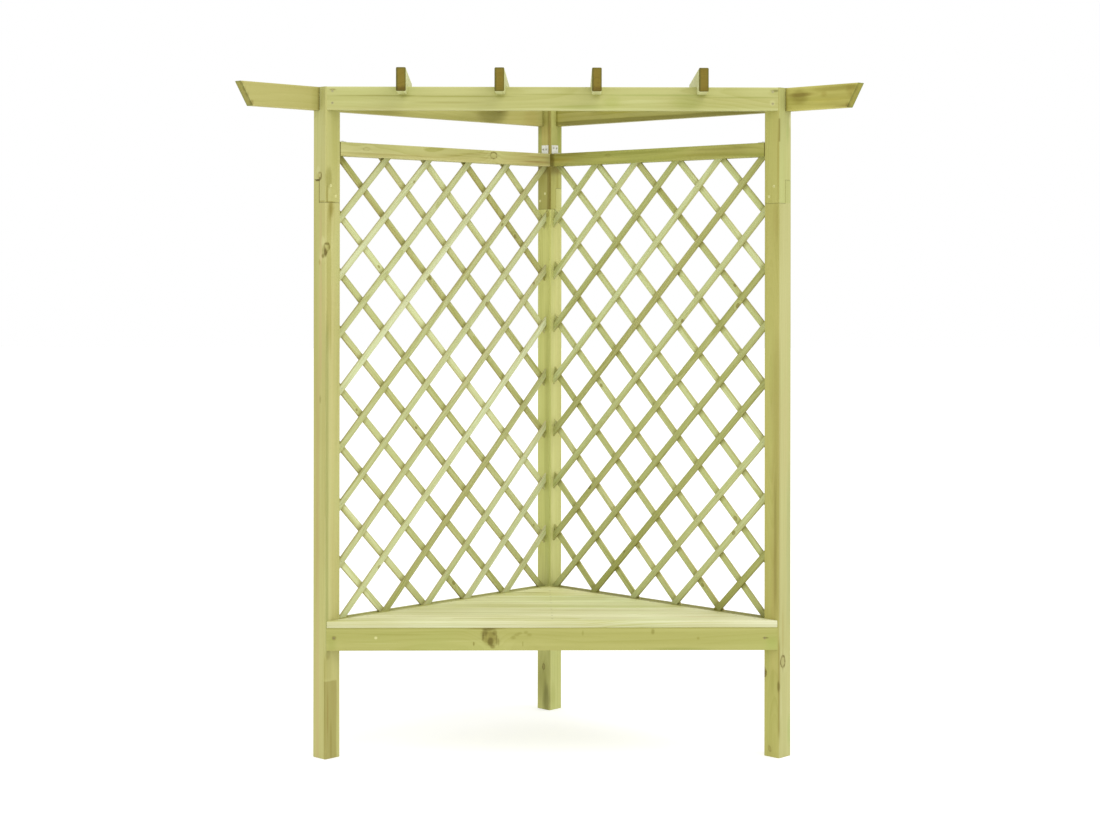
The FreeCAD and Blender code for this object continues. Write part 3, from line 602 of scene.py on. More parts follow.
# posts: local x is the height, y along the leg, z outwards. The faces towards the open front are
# y = +HP and z = -HP, with the front arris between them.
# knots: x, y, z, axis, radius, stretch, heart, rim, halo, lean
# marks: centre, half sizes, tone, strength, softness
ex, ey, ez = axes("post", "left")
c = leg_point("left", LEG - HP, HP, 0.0)
give("left_post_lower", wood_material(
    "left_post_lower_wood", c, ex, ey, ez, 11.3, base=srgb(180, 176, 109), pith=(0.036, -0.036),
    blush=0.25, streak=0.22, ring_amt=0.10, edge=(HP, HP), edge_tone=(1.02, 1.02, 1.04),
    faces=(("+y", (0.99, 0.99, 0.94), 1.0), ("-z", (0.995, 1.0, 1.05), 1.0)),
    knots=((1.4618, 0.0265, -0.0275, ARRIS, 0.0090, 1.7, 0.15, 0.45, 0.6, 0.5),),
    marks=(((1.4500, 0.0265, -0.0262), (0.0110, 0.0055, 0.0045), (0.36, 0.30, 0.15), 0.95, 0.45),
           ((1.4400, 0.0275, -0.0160), (0.0055, 0.0050, 0.0060), (0.50, 0.44, 0.28), 0.90, 0.5),
           ((1.4750, 0.0215, -0.0275), (0.0035, 0.0070, 0.0060), (0.52, 0.47, 0.30), 0.90, 0.5),
           ((1.4650, 0.0130, -0.0275), (0.0080, 0.0026, 0.0060), (0.66, 0.62, 0.45), 0.85, 0.5),
           ((1.4600, 0.0275, -0.0240), (0.0080, 0.0060, 0.0030), (0.58, 0.53, 0.36), 0.80, 0.5),
           ((1.4830, 0.0275, -0.0150), (0.0140, 0.0050, 0.0080), (1.14, 1.15, 1.30), 1.0, 0.5),
           ((1.4350, 0.0275, -0.0060), (0.0120, 0.0050, 0.0050), (1.12, 1.13, 1.24), 0.9, 0.5),
           ((1.4220, 0.0275, -0.0010), (0.0080, 0.0050, 0.0035), (0.78, 0.70, 0.50), 0.8, 0.6),
           ((1.5790, 0.0050, -0.0275), (0.0240, 0.0080, 0.0060), (0.72, 0.68, 0.46), 0.95, 0.6),
           ((1.6573, 0.0275, 0.0070), (0.0030, 0.005, 0.0100), (0.32, 0.26, 0.12), 1.0, 0.4),
           ((1.0290, 0.0275, -0.0050), (0.010, 0.006, 0.004), (0.62, 0.58, 0.42), 0.6, 0.6),
           ((0.2990, 0.0160, -0.0275), (0.014, 0.0080, 0.006), (0.70, 0.66, 0.52), 0.8, 0.5),
           ((0.1300, 0.0180, -0.0275), (0.070, 0.0030, 0.006), (0.85, 0.76, 0.62), 0.8, 0.6),
           ((0.0450, 0.0060, -0.0275), (0.060, 0.0040, 0.006), (0.84, 0.80, 0.66), 0.9, 0.6),
           ((1.5700, 0.0100, -0.0275), (0.034, 0.0070, 0.006), (0.80, 0.78, 0.62), 0.8, 0.6)),
    bands=(((1.594, 0.022, -0.0010), (1.657, 0.040, 0.0030), (0.004, 0.002, 0.0012), (0.66, 0.60, 0.42), 0.85),
           ((1.180, 0.0060, -0.040), (1.60, 0.0235, -0.022), (0.060, 0.003, 0.002), (0.78, 0.77, 0.58), 0.95),
           ((0.300, 0.0160, -0.040), (1.240, 0.0265, -0.022), (0.050, 0.002, 0.002), (0.75, 0.79, 0.70), 0.95),
           # these two bands are painted shade under the seat, on the face towards the right-front
           ((-0.10, -0.0150, -0.040), (0.2220, 0.040, -0.022), (0.0025, 0.003, 0.002), (0.72, 0.68, 0.53), 0.95),
           ((0.2260, 0.0050, -0.040), (0.290, 0.040, -0.022), (0.010, 0.005, 0.002), (0.84, 0.82, 0.70), 0.9),
           ((1.08, 0.022, -0.0110), (1.60, 0.040, -0.0010), (0.06, 0.002, 0.0025), (1.01, 0.90, 0.98), 1.0),
           ((-0.10, 0.022, 0.0000), (1.12, 0.040, 0.0130), (0.08, 0.002, 0.0030), (1.01, 0.92, 0.99), 1.0))))
give("left_post_upper", wood_material(
    "left_post_upper_wood", c, ex, ey, ez, 17.9, base=srgb(181, 178, 112), pith=(-0.060, -0.020), blush=0.30,
    streak=0.22, ring_amt=0.10, edge=(HP, HP), edge_tone=(1.02, 1.02, 1.04),
    marks=(((1.6573, 0.0275, 0.0070), (0.0030, 0.005, 0.0100), (0.32, 0.26, 0.12), 1.0, 0.4),
           ((1.6620, 0.0275, -0.0030), (0.0050, 0.005, 0.0055), (0.42, 0.36, 0.20), 0.95, 0.45),
           ((1.6700, 0.0275, -0.0080), (0.0090, 0.005, 0.0032), (0.44, 0.38, 0.22), 0.95, 0.45),
           ((1.6790, 0.0275, -0.0020), (0.0030, 0.005, 0.0060), (0.62, 0.56, 0.40), 0.85, 0.5),
           ((1.6690, 0.0275, 0.0040), (0.0080, 0.005, 0.0060), (0.86, 0.82, 0.66), 0.85, 0.5),
           ((1.6860, 0.0275, 0.0060), (0.0100, 0.005, 0.0080), PALE, 0.9, 0.5),
           ((1.5945, 0.0100, -0.0275), (0.0028, 0.0160, 0.0060), (0.64, 0.58, 0.38), 0.9, 0.5),
           ((1.6620, 0.0165, -0.0275), (0.032, 0.0110, 0.006), (0.74, 0.73, 0.58), 0.95, 0.4),
           ((1.6140, 0.0215, -0.0275), (0.030, 0.0036, 0.006), (0.66, 0.62, 0.42), 0.9, 0.5),
           ((1.6300, 0.0120, -0.0275), (0.012, 0.0040, 0.006), PALE, 0.9, 0.5),
           ((1.7500, -0.0120, -0.0275), (0.080, 0.0100, 0.006), (0.94, 0.94, 0.86), 0.8, 0.6)),
    bands=(((1.5940, 0.022, -0.0010), (1.6570, 0.040, 0.0045), (0.004, 0.002, 0.0016), (0.62, 0.56, 0.38), 0.9),
           ((1.5940, 0.022, -0.0240), (1.5990, 0.040, 0.0030), (0.0016, 0.002, 0.004), (0.74, 0.68, 0.50), 0.9))))

ex, ey, ez = axes("post", "right")
c = leg_point("right", LEG - HP, HP, 0.0)
give("right_post_lower", wood_material(
    "right_post_lower_wood", c, ex, ey, ez, 22.6, base=srgb(181, 178, 108), pith=(0.010, -0.060),
    blush=0.25, streak=0.20, ring_amt=0.10, edge=(HP, HP), edge_tone=(1.0, 1.0, 1.02),
    faces=(("+y", (0.92, 0.925, 1.07), 1.0), ("-z", (0.92, 0.90, 0.74), 1.0)),
    knots=((0.2755, 0.0275, -0.0100, YN, 0.0105, 1.6, 0.30, 1.0, 0.6, 0.0),
           (0.2397, -0.0235, -0.0275, ZN, 0.0060, 2.1, 1.0, 1.0, 0.0, 0.0),
           (0.0228, -0.0065, -0.0275, ZN, 0.0060, 1.3, 0.5, 0.5, 0.0, 0.5)),
    marks=(((0.0727, 0.0275, 0.0190), (0.040, 0.006, 0.007), (0.84, 0.94, 0.78), 0.8, 0.6),
           ((0.3600, 0.0275, -0.0100), (0.070, 0.006, 0.0035), (0.94, 0.88, 0.80), 0.9, 0.6),
           ((0.2900, -0.0150, -0.0275), (0.060, 0.0070, 0.006), (0.86, 0.90, 0.80), 0.8, 0.6),
           ((0.2150, 0.0050, -0.0275), (0.035, 0.0050, 0.006), (0.88, 0.90, 0.80), 0.8, 0.6),
           ((0.2050, 0.0245, -0.0275), (0.014, 0.0035, 0.006), (0.55, 0.50, 0.34), 0.9, 0.5),
           ((0.1500, 0.0275, -0.0200), (0.050, 0.006, 0.0050), PALE, 0.8, 0.6),
           ((0.2397, -0.0250, -0.0275), (0.009, 0.0040, 0.006), (0.45, 0.40, 0.26), 0.9, 0.5),
           ((1.5400, 0.0150, -0.0275), (0.050, 0.0100, 0.006), (0.90, 0.86, 0.80), 0.8, 0.6)),
    bands=(((1.594, 0.022, -0.0020), (1.670, 0.040, 0.040), (0.0015, 0.002, 0.002), (0.93, 0.98, 0.86), 1.0),
           ((0.400, 0.0020, -0.040), (1.180, 0.040, -0.022), (0.080, 0.009, 0.002), (0.88, 0.84, 0.79), 0.95),
           ((0.430, 0.0090, -0.040), (0.800, 0.0180, -0.022), (0.060, 0.003, 0.002), (0.80, 0.77, 0.72), 0.9),
           ((0.060, 0.0235, -0.0300), (0.330, 0.0300, -0.0220), (0.030, 0.0015, 0.0015), (0.72, 0.66, 0.50), 0.9),
           ((0.40, 0.022, 0.0080), (0.80, 0.040, 0.0260), (0.08, 0.002, 0.005), (0.86, 0.90, 0.90), 0.8))))
give("right_post_upper", wood_material(
    "right_post_upper_wood", c, ex, ey, ez, 35.8, base=srgb(180, 177, 106), pith=(-0.060, 0.030), blush=0.30,
    streak=0.22, ring_amt=0.10, edge=(HP, HP), edge_tone=(1.0, 1.0, 1.02),
    faces=(("+y", (0.86, 0.91, 0.93), 1.0), ("-z", (0.91, 0.89, 0.74), 1.0)),
    marks=(((1.8320, 0.0275, 0.0215), (0.020, 0.010, 0.0040), (1.28, 1.28, 1.7), 0.95, 0.5),
           ((1.7200, 0.0275, 0.0215), (0.080, 0.010, 0.0050), PALE, 0.9, 0.6),
           ((1.8000, 0.0275, 0.0100), (0.030, 0.010, 0.0060), (0.84, 0.92, 0.80), 0.7, 0.6),
           ((1.7000, 0.0225, -0.0275), (0.090, 0.0030, 0.006), (0.80, 0.74, 0.56), 0.8, 0.6),
           ((1.6150, -0.0230, -0.0275), (0.010, 0.004, 0.006), PALE, 0.6, 0.6)),
    bands=(((1.7700, 0.0240, -0.0300), (1.8360, 0.0300, -0.0235), (0.003, 0.0009, 0.0009), (0.62, 0.56, 0.38), 0.9),)))

c = leg_point("left", -HP, HP, 0.0)
ex, ey, ez = axes("post", "left")
give("rear_post_lower", wood_material(
    "rear_post_lower_wood", c, ex, ey, ez, 5.1, base=srgb(180, 180, 109), pith=(0.06, 0.02), blush=0.2, streak=0.24,
    ring_amt=0.12, edge=(HP, HP), edge_tone=(1.0, 1.0, 1.0), faces=(("-z", PALE, 0.15), ("+y", DARKER, 0.06)),
    knots=((1.5790, 0.0275, -0.0165, YN, 0.0075, 1.4, 0.7, 0.8, 0.0, 0.0),
           (0.1360, 0.0275, -0.0010, YN, 0.0060, 1.6, 0.7, 0.8, 0.0, 0.0)),
    # the first three marks darken the foot: painted shade low down, strongest on the face towards the left-front
    marks=(((0.0300, 0.0275, -0.0140), (0.050, 0.008, 0.0150), (0.54, 0.53, 0.42), 0.95, 0.6),
           ((0.0900, 0.0275, 0.0000), (0.070, 0.008, 0.0200), (0.74, 0.74, 0.62), 0.95, 0.6),
           ((0.0450, 0.0120, -0.0275), (0.035, 0.0100, 0.006), (0.86, 0.86, 0.74), 0.8, 0.6)),
    bands=(((0.45, 0.022, -0.040), (1.80, 0.040, 0.040), (0.10, 0.002, 0.002), (1.13, 1.16, 1.04), 1.0),
           ((0.45, -0.040, -0.040), (1.80, 0.022, -0.022), (0.10, 0.002, 0.002), (1.15, 1.14, 1.22), 1.0),
           ((0.40, 0.022, -0.040), (1.30, 0.040, -0.0060), (0.10, 0.002, 0.008), (0.84, 0.86, 0.80), 0.9),
           # the next three bands are painted light and shade under the seat: the face towards the left-front darker,
           # the face towards the right-front paler
           ((-0.10, -0.040, -0.040), (0.36, 0.022, -0.022), (0.05, 0.002, 0.002), (1.07, 1.10, 1.16), 0.95),
           ((0.06, 0.022, -0.040), (0.36, 0.040, 0.040), (0.04, 0.002, 0.002), (0.91, 0.91, 0.84), 0.95),
           ((0.10, 0.022, -0.040), (0.40, 0.040, -0.0160), (0.10, 0.002, 0.006), (0.90, 0.92, 0.88), 0.9))))
give("rear_post_upper", wood_material(
    "rear_post_upper_wood", c, ex, ey, ez, 8.7, base=srgb(170, 166, 92), pith=(0.05, -0.03),
    blush=0.2, streak=0.40, edge=(HP, HP), edge_tone=(0.95, 0.93, 0.88),
    faces=(("-z", (1.10, 1.15, 1.20), 0.9),),
    marks=(((1.8550, 0.0275, 0.0000), (0.025, 0.010, 0.030), DARKER, 0.6, 0.6),
           ((1.7000, 0.0275, 0.0050), (0.030, 0.010, 0.0120), (0.86, 0.84, 0.66), 0.8, 0.6),
           ((1.6700, -0.0050, -0.0275), (0.060, 0.0030, 0.006), (0.84, 0.82, 0.66), 0.8, 0.6)),
    # the first band is painted shadow on the post just under the top rail
    bands=(((1.7060, -0.040, -0.040), (1.7350, 0.040, 0.040), (0.010, 0.002, 0.002), (0.64, 0.57, 0.46), 0.95),
           ((1.770, 0.022, -0.040), (1.8570, 0.040, 0.040), (0.010, 0.002, 0.002), (1.10, 1.04, 0.98), 1.0),
           ((1.770, -0.040, -0.040), (1.8570, 0.022, -0.022), (0.010, 0.002, 0.002), (0.90, 0.91, 0.84), 1.0),
           ((1.580, 0.022, -0.040), (1.7300, 0.040, 0.040), (0.004, 0.002, 0.002), (0.84, 0.84, 0.70), 1.0),
           ((1.580, 0.022, -0.040), (1.7100, 0.040, -0.0150), (0.010, 0.002, 0.002), (0.66, 0.60, 0.42), 0.95),
           ((1.580, -0.0130, -0.040), (1.7300, 0.040, -0.022), (0.004, 0.003, 0.002), (0.88, 0.86, 0.74), 1.0),
           ((1.770, 0.022, 0.0090), (1.8570, 0.040, 0.040), (0.010, 0.002, 0.003), (0.84, 0.96, 0.95), 1.0),
           ((1.770, 0.022, -0.040), (1.9300, 0.040, -0.0180), (0.010, 0.002, 0.003), (0.62, 0.56, 0.42), 0.9),
           ((1.730, -0.040, -0.040), (1.8570, -0.0070, -0.022), (0.010, 0.003, 0.002), (0.92, 0.98, 0.82), 0.9))))

ZB = (BEAM_TOP + BEAM_BOT) / 2
HB = BOARD_H / 2
HT = BOARD_T / 2
ex, ey, ez = axes("leg", "left")
c = leg_point("left", 0.0, HP + HT, ZB)
give("left_side_beam", wood_material(
    "left_side_beam_wood", c, ex, ey, ez, 21.7, base=times(srgb(180, 174, 101), 0.84), pith=(0.02, 0.065), ring=0.0050,
    blush=0.15, edge=(HB, HT), streak=0.26, ring_amt=0.10, end_rim=(HB, HT), end=srgb(152, 147, 76),
    lines=(("x", 0.9215, 0.0070, DARKER, 0.9), ("x", 0.9195, 0.0028, (0.42, 0.38, 0.24), 0.95),
           ("x", 0.0040, 0.0060, OLIVE, 0.8)),
    # the first mark is painted shadow on the inner face below the second rafter
    marks=(((0.2330, -0.008, -HT), (0.060, 0.030, 0.008), (0.72, 0.71, 0.60), 0.95, 0.4),
           ((0.1300, -0.020, -HT), (0.050, 0.030, 0.008), (1.08, 1.06, 1.08), 0.9, 0.6),
           ((0.1900, 0.010, -HT), (0.030, 0.010, 0.008), (0.84, 0.76, 0.66), 0.8, 0.6),
           ((0.0560, -0.010, -HT), (0.030, 0.040, 0.008), (0.98, 0.92, 0.86), 0.8, 0.6),
           ((1.1940, 0.0270, -HT + 0.004), (0.0050, 0.0080, 0.0055), (0.76, 0.72, 0.60), 0.8, 0.5),
           ((1.1850, 0.0120, -HT + 0.004), (0.0050, 0.0090, 0.0055), (0.76, 0.72, 0.60), 0.9, 0.5),
           ((1.1750, -0.0040, -HT + 0.004), (0.0050, 0.0090, 0.0055), (0.76, 0.72, 0.60), 0.9, 0.5),
           ((1.1610, -0.0260, -HT + 0.004), (0.0060, 0.0090, 0.0075), (0.68, 0.62, 0.48), 0.9, 0.5),
           ((0.9350, 0.000, -HT), (0.012, 0.050, 0.008), (0.90, 0.90, 0.80), 0.8, 0.7)),
    bands=(((0.30, -0.050, -0.040), (0.85, -0.0200, 0.0), (0.050, 0.004, 0.004), (0.88, 0.88, 0.78), 0.9),)))
ex, ey, ez = axes("leg", "right")
c = leg_point("right", 0.0, HP + HT, ZB)
give("right_side_beam", wood_material(
    "right_side_beam_wood", c, ex, ey, ez, 26.1, base=times(srgb(175, 169, 84), 0.97), pith=(0.02, 0.060), ring=0.0055,
    blush=0.15, edge=(HB, HT), streak=0.60, broad=0.6, ring_amt=0.22, end_rim=(HB, HT), end=srgb(150, 145, 64),
    lines=(("x", 0.9225, 0.0060, DARKER, 0.7), ("x", 0.9205, 0.0026, (0.42, 0.38, 0.24), 0.95),
           ("x", 0.0040, 0.0060, OLIVE, 0.8)),
    marks=(((0.9700, 0.0040, -HT), (0.028, 0.0200, 0.008), (0.66, 0.62, 0.46), 0.9, 0.6),
           ((0.9750, 0.0100, -HT), (0.050, 0.0050, 0.008), (0.62, 0.55, 0.38), 0.8, 0.6),
           ((1.0560, 0.0080, -HT), (0.010, 0.0080, 0.008), (0.80, 0.74, 0.58), 0.7, 0.6),
           ((1.1000, 0.0220, -HT), (0.090, 0.0060, 0.008), (0.74, 0.70, 0.52), 0.8, 0.6),
           ((1.1200, -0.0060, -HT), (0.030, 0.0100, 0.008), (1.06, 1.05, 1.08), 0.9, 0.6),
           ((1.1500, 0.0160, -HT), (0.0160, 0.0160, 0.010), (0.84, 0.79, 0.66), 0.9, 0.6),
           ((1.1640, 0.0200, -HT + 0.006), (0.0070, 0.0140, 0.0060), (0.84, 0.80, 0.70), 0.9, 0.6),
           ((1.1500, -0.0080, -HT + 0.005), (0.0060, 0.0140, 0.0060), (0.84, 0.80, 0.74), 0.9, 0.6),
           ((1.1390, -0.0280, -HT + 0.004), (0.0080, 0.0080, 0.0090), (0.74, 0.68, 0.56), 0.9, 0.5),
           ((1.0600, -0.0100, -HT), (0.050, 0.0060, 0.008), (1.08, 1.06, 1.02), 0.8, 0.6),
           ((1.1400, -0.0290, -HT), (0.040, 0.0040, 0.008), BROWN, 0.6, 0.6),
           ((0.1200, 0.0180, -HT), (0.080, 0.0060, 0.008), (0.45, 0.42, 0.32), 0.8, 0.6),
           ((0.3500, 0.0000, -HT), (0.200, 0.0060, 0.008), (1.18, 1.16, 1.10), 0.9, 0.6)),
    bands=(((1.06, -0.050, -0.040), (1.30, 0.050, -0.0110), (0.040, 0.004, 0.001), (0.92, 0.90, 0.88), 0.95),
           # the last five bands darken the inner face between the posts: partly darker wood, partly painted shade under
           # the roof
           ((0.00, -0.060, -0.040), (0.88, 0.060, 0.0), (0.060, 0.004, 0.004), (0.94, 0.96, 1.10), 0.95),
           ((0.00, 0.0160, -0.040), (0.88, 0.0290, 0.0), (0.060, 0.004, 0.004), (0.62, 0.60, 0.50), 0.95),
           ((0.00, -0.0400, -0.040), (0.88, -0.0210, 0.0), (0.060, 0.003, 0.004), (0.52, 0.50, 0.40), 0.95),
           ((0.00, -0.0200, -0.040), (0.30, 0.0150, 0.0), (0.060, 0.004, 0.004), (0.88, 0.86, 0.84), 0.9),
           ((0.30, -0.0200, -0.040), (0.88, 0.0150, 0.0), (0.060, 0.004, 0.004), (0.80, 0.80, 0.84), 0.9))))

for side in ("left", "right"):
    ex, ey, ez = axes("leg", side)
    left = side == "left"
    # top rail
    c = leg_point(side, 0.0, 0.021, 1.749)
    if left:
        kn = ((0.2494, 0.0050, -0.021, ZN, 0.0105, 1.3, 0.20, 0.90, 0.4, 0.0),
              (0.7650, 0.0030, -0.021, ZN, 0.0050, 2.6, 0.15, 0.35, 0.3, 0.3))
        mk = (((0.3350, 0.0050, -0.021), (0.050, 0.0030, 0.008), DARKER, 0.8, 0.6),
              ((0.4000, -0.0020, -0.021), (0.060, 0.0022, 0.008), DARKER, 0.7, 0.6),
              ((0.2900, 0.0100, -0.021), (0.0300, 0.0022, 0.008), (0.72, 0.66, 0.48), 0.8, 0.5),
              ((0.2850, -0.0040, -0.021), (0.0260, 0.0020, 0.008), (0.74, 0.69, 0.50), 0.8, 0.5),
              ((0.7000, -0.0100, -0.021), (0.150, 0.0022, 0.008), DARKER, 0.8, 0.6),
              ((0.0600, -0.0080, -0.021), (0.060, 0.0030, 0.008), (0.72, 0.60, 0.50), 0.9, 0.6),
              ((0.0500, 0.0080, -0.021), (0.060, 0.0022, 0.008), (0.78, 0.68, 0.56), 0.8, 0.6),
              ((0.0900, 0.0, -0.021), (0.090, 0.0220, 0.008), (0.95, 0.90, 0.84), 0.9, 0.6))
        fc = ()
        ln = (("x", 0.8635, 0.0026, (0.45, 0.45, 0.30), 0.9),)
    else:
        kn = ((0.2500, 0.0060, -0.021, ZN, 0.0050, 2.2, 0.3, 0.3, 0.2, 0.0),)
        mk = (((0.0060, 0.0, -0.021), (0.012, 0.040, 0.010), (0.50, 0.44, 0.36), 0.95, 0.6),
              ((0.0500, -0.0020, -0.021), (0.050, 0.0080, 0.010), (1.06, 0.96, 0.86), 0.9, 0.6),
              ((0.0700, 0.0140, -0.021), (0.080, 0.0050, 0.010), (0.80, 0.76, 0.64), 0.8, 0.6),
              ((0.2600, -0.0050, -0.021), (0.060, 0.0060, 0.008), (1.12, 1.08, 1.10), 0.8, 0.6),
              ((0.4000, 0.0090, -0.021), (0.150, 0.0040, 0.008), (0.76, 0.76, 0.58), 0.8, 0.6),
              ((0.5200, -0.0080, -0.021), (0.120, 0.0050, 0.008), (1.08, 1.08, 1.06), 0.8, 0.6),
              ((0.7200, 0.0080, -0.021), (0.110, 0.0050, 0.008), (0.74, 0.72, 0.56), 0.8, 0.6))
        fc = ()
        ln = (("x", 0.8635, 0.0022, (0.55, 0.53, 0.38), 0.9),)
    give("%s_trellis_top_rail" % side, wood_material(
        "%s_top_rail_wood" % side, c, ex, ey, ez, 31.0 if left else 32.7, base=srgb(184, 180, 116) if left else srgb(160, 158, 80),
        pith=(0.03, 0.05), ring=0.0042, ring_amt=0.24, streak=0.36 if left else 0.50, broad=0.45 if left else 0.60,
        blush=0.3 if left else 0.2, patch=0.3 if left else 0.7,
        edge=(0.020, 0.021), knots=kn, marks=mk, faces=fc, lines=ln))
    # bottom rail: its top face is painted darker as shade, so its inner lip shows as a dark strip behind the seat; the
    # painted shade is stronger on the right
    c = leg_point(side, 0.0, 0.021, 0.375)
    give("%s_trellis_bottom_rail" % side, wood_material(
        "%s_bottom_rail_wood" % side, c, ex, ey, ez, 37.0 if left else 38.7, base=srgb(172, 170, 100),
        pith=(0.03, 0.04), ring=0.0042, edge=(0.020, 0.021), edge_tone=(0.9, 0.9, 0.85),
        faces=(("+y", (0.86, 0.87, 0.76) if left else (0.58, 0.56, 0.42), 0.95),)))

c = (0.0, Y_SHIFT + 0.003 + HT, ZB)
raft_x = (-0.4289, -0.1523, 0.1219, 0.4231)
fb_marks = [((-0.5000, 0.0075, -HT), (0.110, 0.0020, 0.008), (0.70, 0.68, 0.52), 0.9, 0.6),
            ((-0.2500, 0.0060, -HT), (0.140, 0.0022, 0.008), (0.76, 0.76, 0.60), 0.9, 0.6),
            ((0.0200, 0.0120, -HT), (0.120, 0.0022, 0.008), (0.80, 0.82, 0.66), 0.8, 0.6),
            ((0.3000, 0.0100, -HT), (0.140, 0.0026, 0.008), (0.80, 0.84, 0.68), 0.9, 0.6),
            ((0.5500, 0.0040, -HT), (0.120, 0.0022, 0.008), (0.80, 0.84, 0.68), 0.9, 0.6),
            ((-0.3000, -0.0120, -HT), (0.090, 0.0030, 0.008), DARKER, 0.6, 0.6),
            ((0.0700, -0.0240, -HT), (0.070, 0.0050, 0.008), (0.86, 0.90, 0.74), 0.9, 0.6),
            ((0.1700, -0.0100, -HT), (0.022, 0.0180, 0.008), (0.92, 0.95, 0.82), 0.9, 0.6),
            ((0.3850, -0.0100, -HT), (0.040, 0.0200, 0.008), (0.90, 0.94, 0.80), 0.9, 0.6),
            ((0.2500, -0.0100, -HT), (0.060, 0.0080, 0.008), PALE, 0.6, 0.6),
            ((-0.0300, 0.0220, -HT), (0.050, 0.0060, 0.008), PALE, 0.6, 0.6),
            ((-0.6300, 0.0245, -HT), (0.009, 0.0025, 0.008), BROWN, 0.8, 0.5),
            ((0.6368, 0.0235, -HT), (0.012, 0.0035, 0.008), (0.50, 0.48, 0.38), 0.9, 0.5),
            ((0.6298, -0.0115, -HT), (0.008, 0.0080, 0.008), (1.16, 1.17, 1.4), 0.9, 0.5)]
# painted shadow on the beam's face below each rafter
for q in raft_x:
    fb_marks.append(((q + 0.003, 0.0100, -HT), (0.015, 0.0090, 0.008), (0.80, 0.80, 0.64), 0.8, 0.6))
give("front_beam", wood_material(
    "front_beam_wood", c, *axes("x"), 41.3, base=srgb(181, 180, 114), pith=(0.03, 0.060), ring=0.0048, ring_amt=0.09, blush=0.2,
    streak=0.26, broad=0.30, edge=(HB, HT), edge_tone=(1.10, 1.11, 1.22), marks=tuple(fb_marks),
    # the pale line near the bottom edge is a painted highlight on the rounded lower edge
    lines=(("y", -0.0290, 0.0040, PALE, 0.6),)))

for i, (n, rx, skew) in enumerate((("rafter_outer_left", raft_x[0], -1.16), ("rafter_inner_left", raft_x[1], 1.06),
                                   ("rafter_inner_right", raft_x[2], 1.36), ("rafter_outer_right", raft_x[3], 1.60))):
    a = math.radians(skew)
    c = (rx, -0.108 + Y_SHIFT, 1.970 - BOARD_H / 2)
    give(n, wood_material(n + "_wood", c, (math.sin(a), math.cos(a), 0), (0, 0, 1), (math.cos(a), -math.sin(a), 0),
                          51.0 + 3.7 * i, base=srgb(190, 191, 134), pith=(0.025 - 0.015 * i, 0.004 * i - 0.004), ring=0.0042,
                          blush=0.15, edge=(HB, HT), end=(0.2135, 0.1606, 0.0195), end_rim=(HB, HT),
                          bands=(((-0.003, -0.050, -0.040), (0.002, -0.0215, 0.040), (0.001, 0.006, 0.002),
                                  ((0.62, 0.55, 0.40), (0.86, 0.88, 0.84), (0.74, 0.68, 0.55), (0.90, 0.86, 0.80))[i], 0.95),
                                 ((-0.003, -0.050, -0.040), (0.002, 0.050, -0.0085), (0.001, 0.002, 0.002),
                                  (0.76, 0.80, 0.84), 0.9))))

# slats: local x runs along a slat, y across it from the first one, z outwards
PANELS = {"left": ((0.4052, 0.1174), (-0.2032, 0.1178)), "right": ((0.4078, 0.1183), (-0.1963, 0.1174))}
SLAT_SEED = {"leftfront": 22.2, "leftback": 16.32, "rightfront": 6.1, "rightback": 10.42}
SLAT_BASE = {"leftfront": (0.503, 0.527, 0.261), "leftback": (0.453, 0.467, 0.190),
             "rightfront": (0.462, 0.489, 0.198), "rightback": (0.494, 0.522, 0.214)}
SLAT_TINT = {"leftfront": 0.17, "leftback": 0.20, "rightfront": 0.20, "rightback": 0.10}
for side, (SUM, DIF) in PANELS.items():
    U, O = (U_R, O_R) if side == "right" else (U_L, O_L)
    for layer in ("front", "back"):
        kind = {"left": {"front": 1, "back": -1}, "right": {"front": -1, "back": 1}}[side][layer]
        o = 0.016 + 0.003 if layer == "front" else 0.022 + 0.003
        c = leg_point(side, 0.0, o, 0.0)
        if kind > 0:       # u + z = const
            ex = tuple((-U[i] + UZ[i]) / R2 for i in range(3))
            ey = tuple((U[i] + UZ[i]) / R2 for i in range(3))
            mine, other = SUM, DIF
        else:              # z - u = const
            ex = tuple((U[i] + UZ[i]) / R2 for i in range(3))
            ey = tuple((UZ[i] - U[i]) / R2 for i in range(3))
            mine, other = DIF, SUM
        key = side + layer
        # cross: painted shade beside the crossings, strong on the back layer and faint on the front
        give("%s_trellis_%s_slats" % (side, layer), wood_material(
            "%s_%s_slat_wood" % (side, layer), c, ex, ey, O, SLAT_SEED[key], base=SLAT_BASE[key], ring=0.0040,
            ring_amt=0.20, streak=0.36, broad=0.45 if key == "leftfront" else 0.62, blush=0.5, patch=0.3, across=75.0, wide=20.0,
            index=mine, tint=SLAT_TINT[key], bump=0.04, cells=(0.42, 0.30, 0.0030, 0.0060, 0.008),
            faces=(("y", (0.86, 0.80, 0.70), 0.9),), cross=(other[0], other[1], 0.75 if layer == "back" else 0.12),
            edge=(0.010, 0.003), edge_tone=(0.93, 0.89, 0.84)))

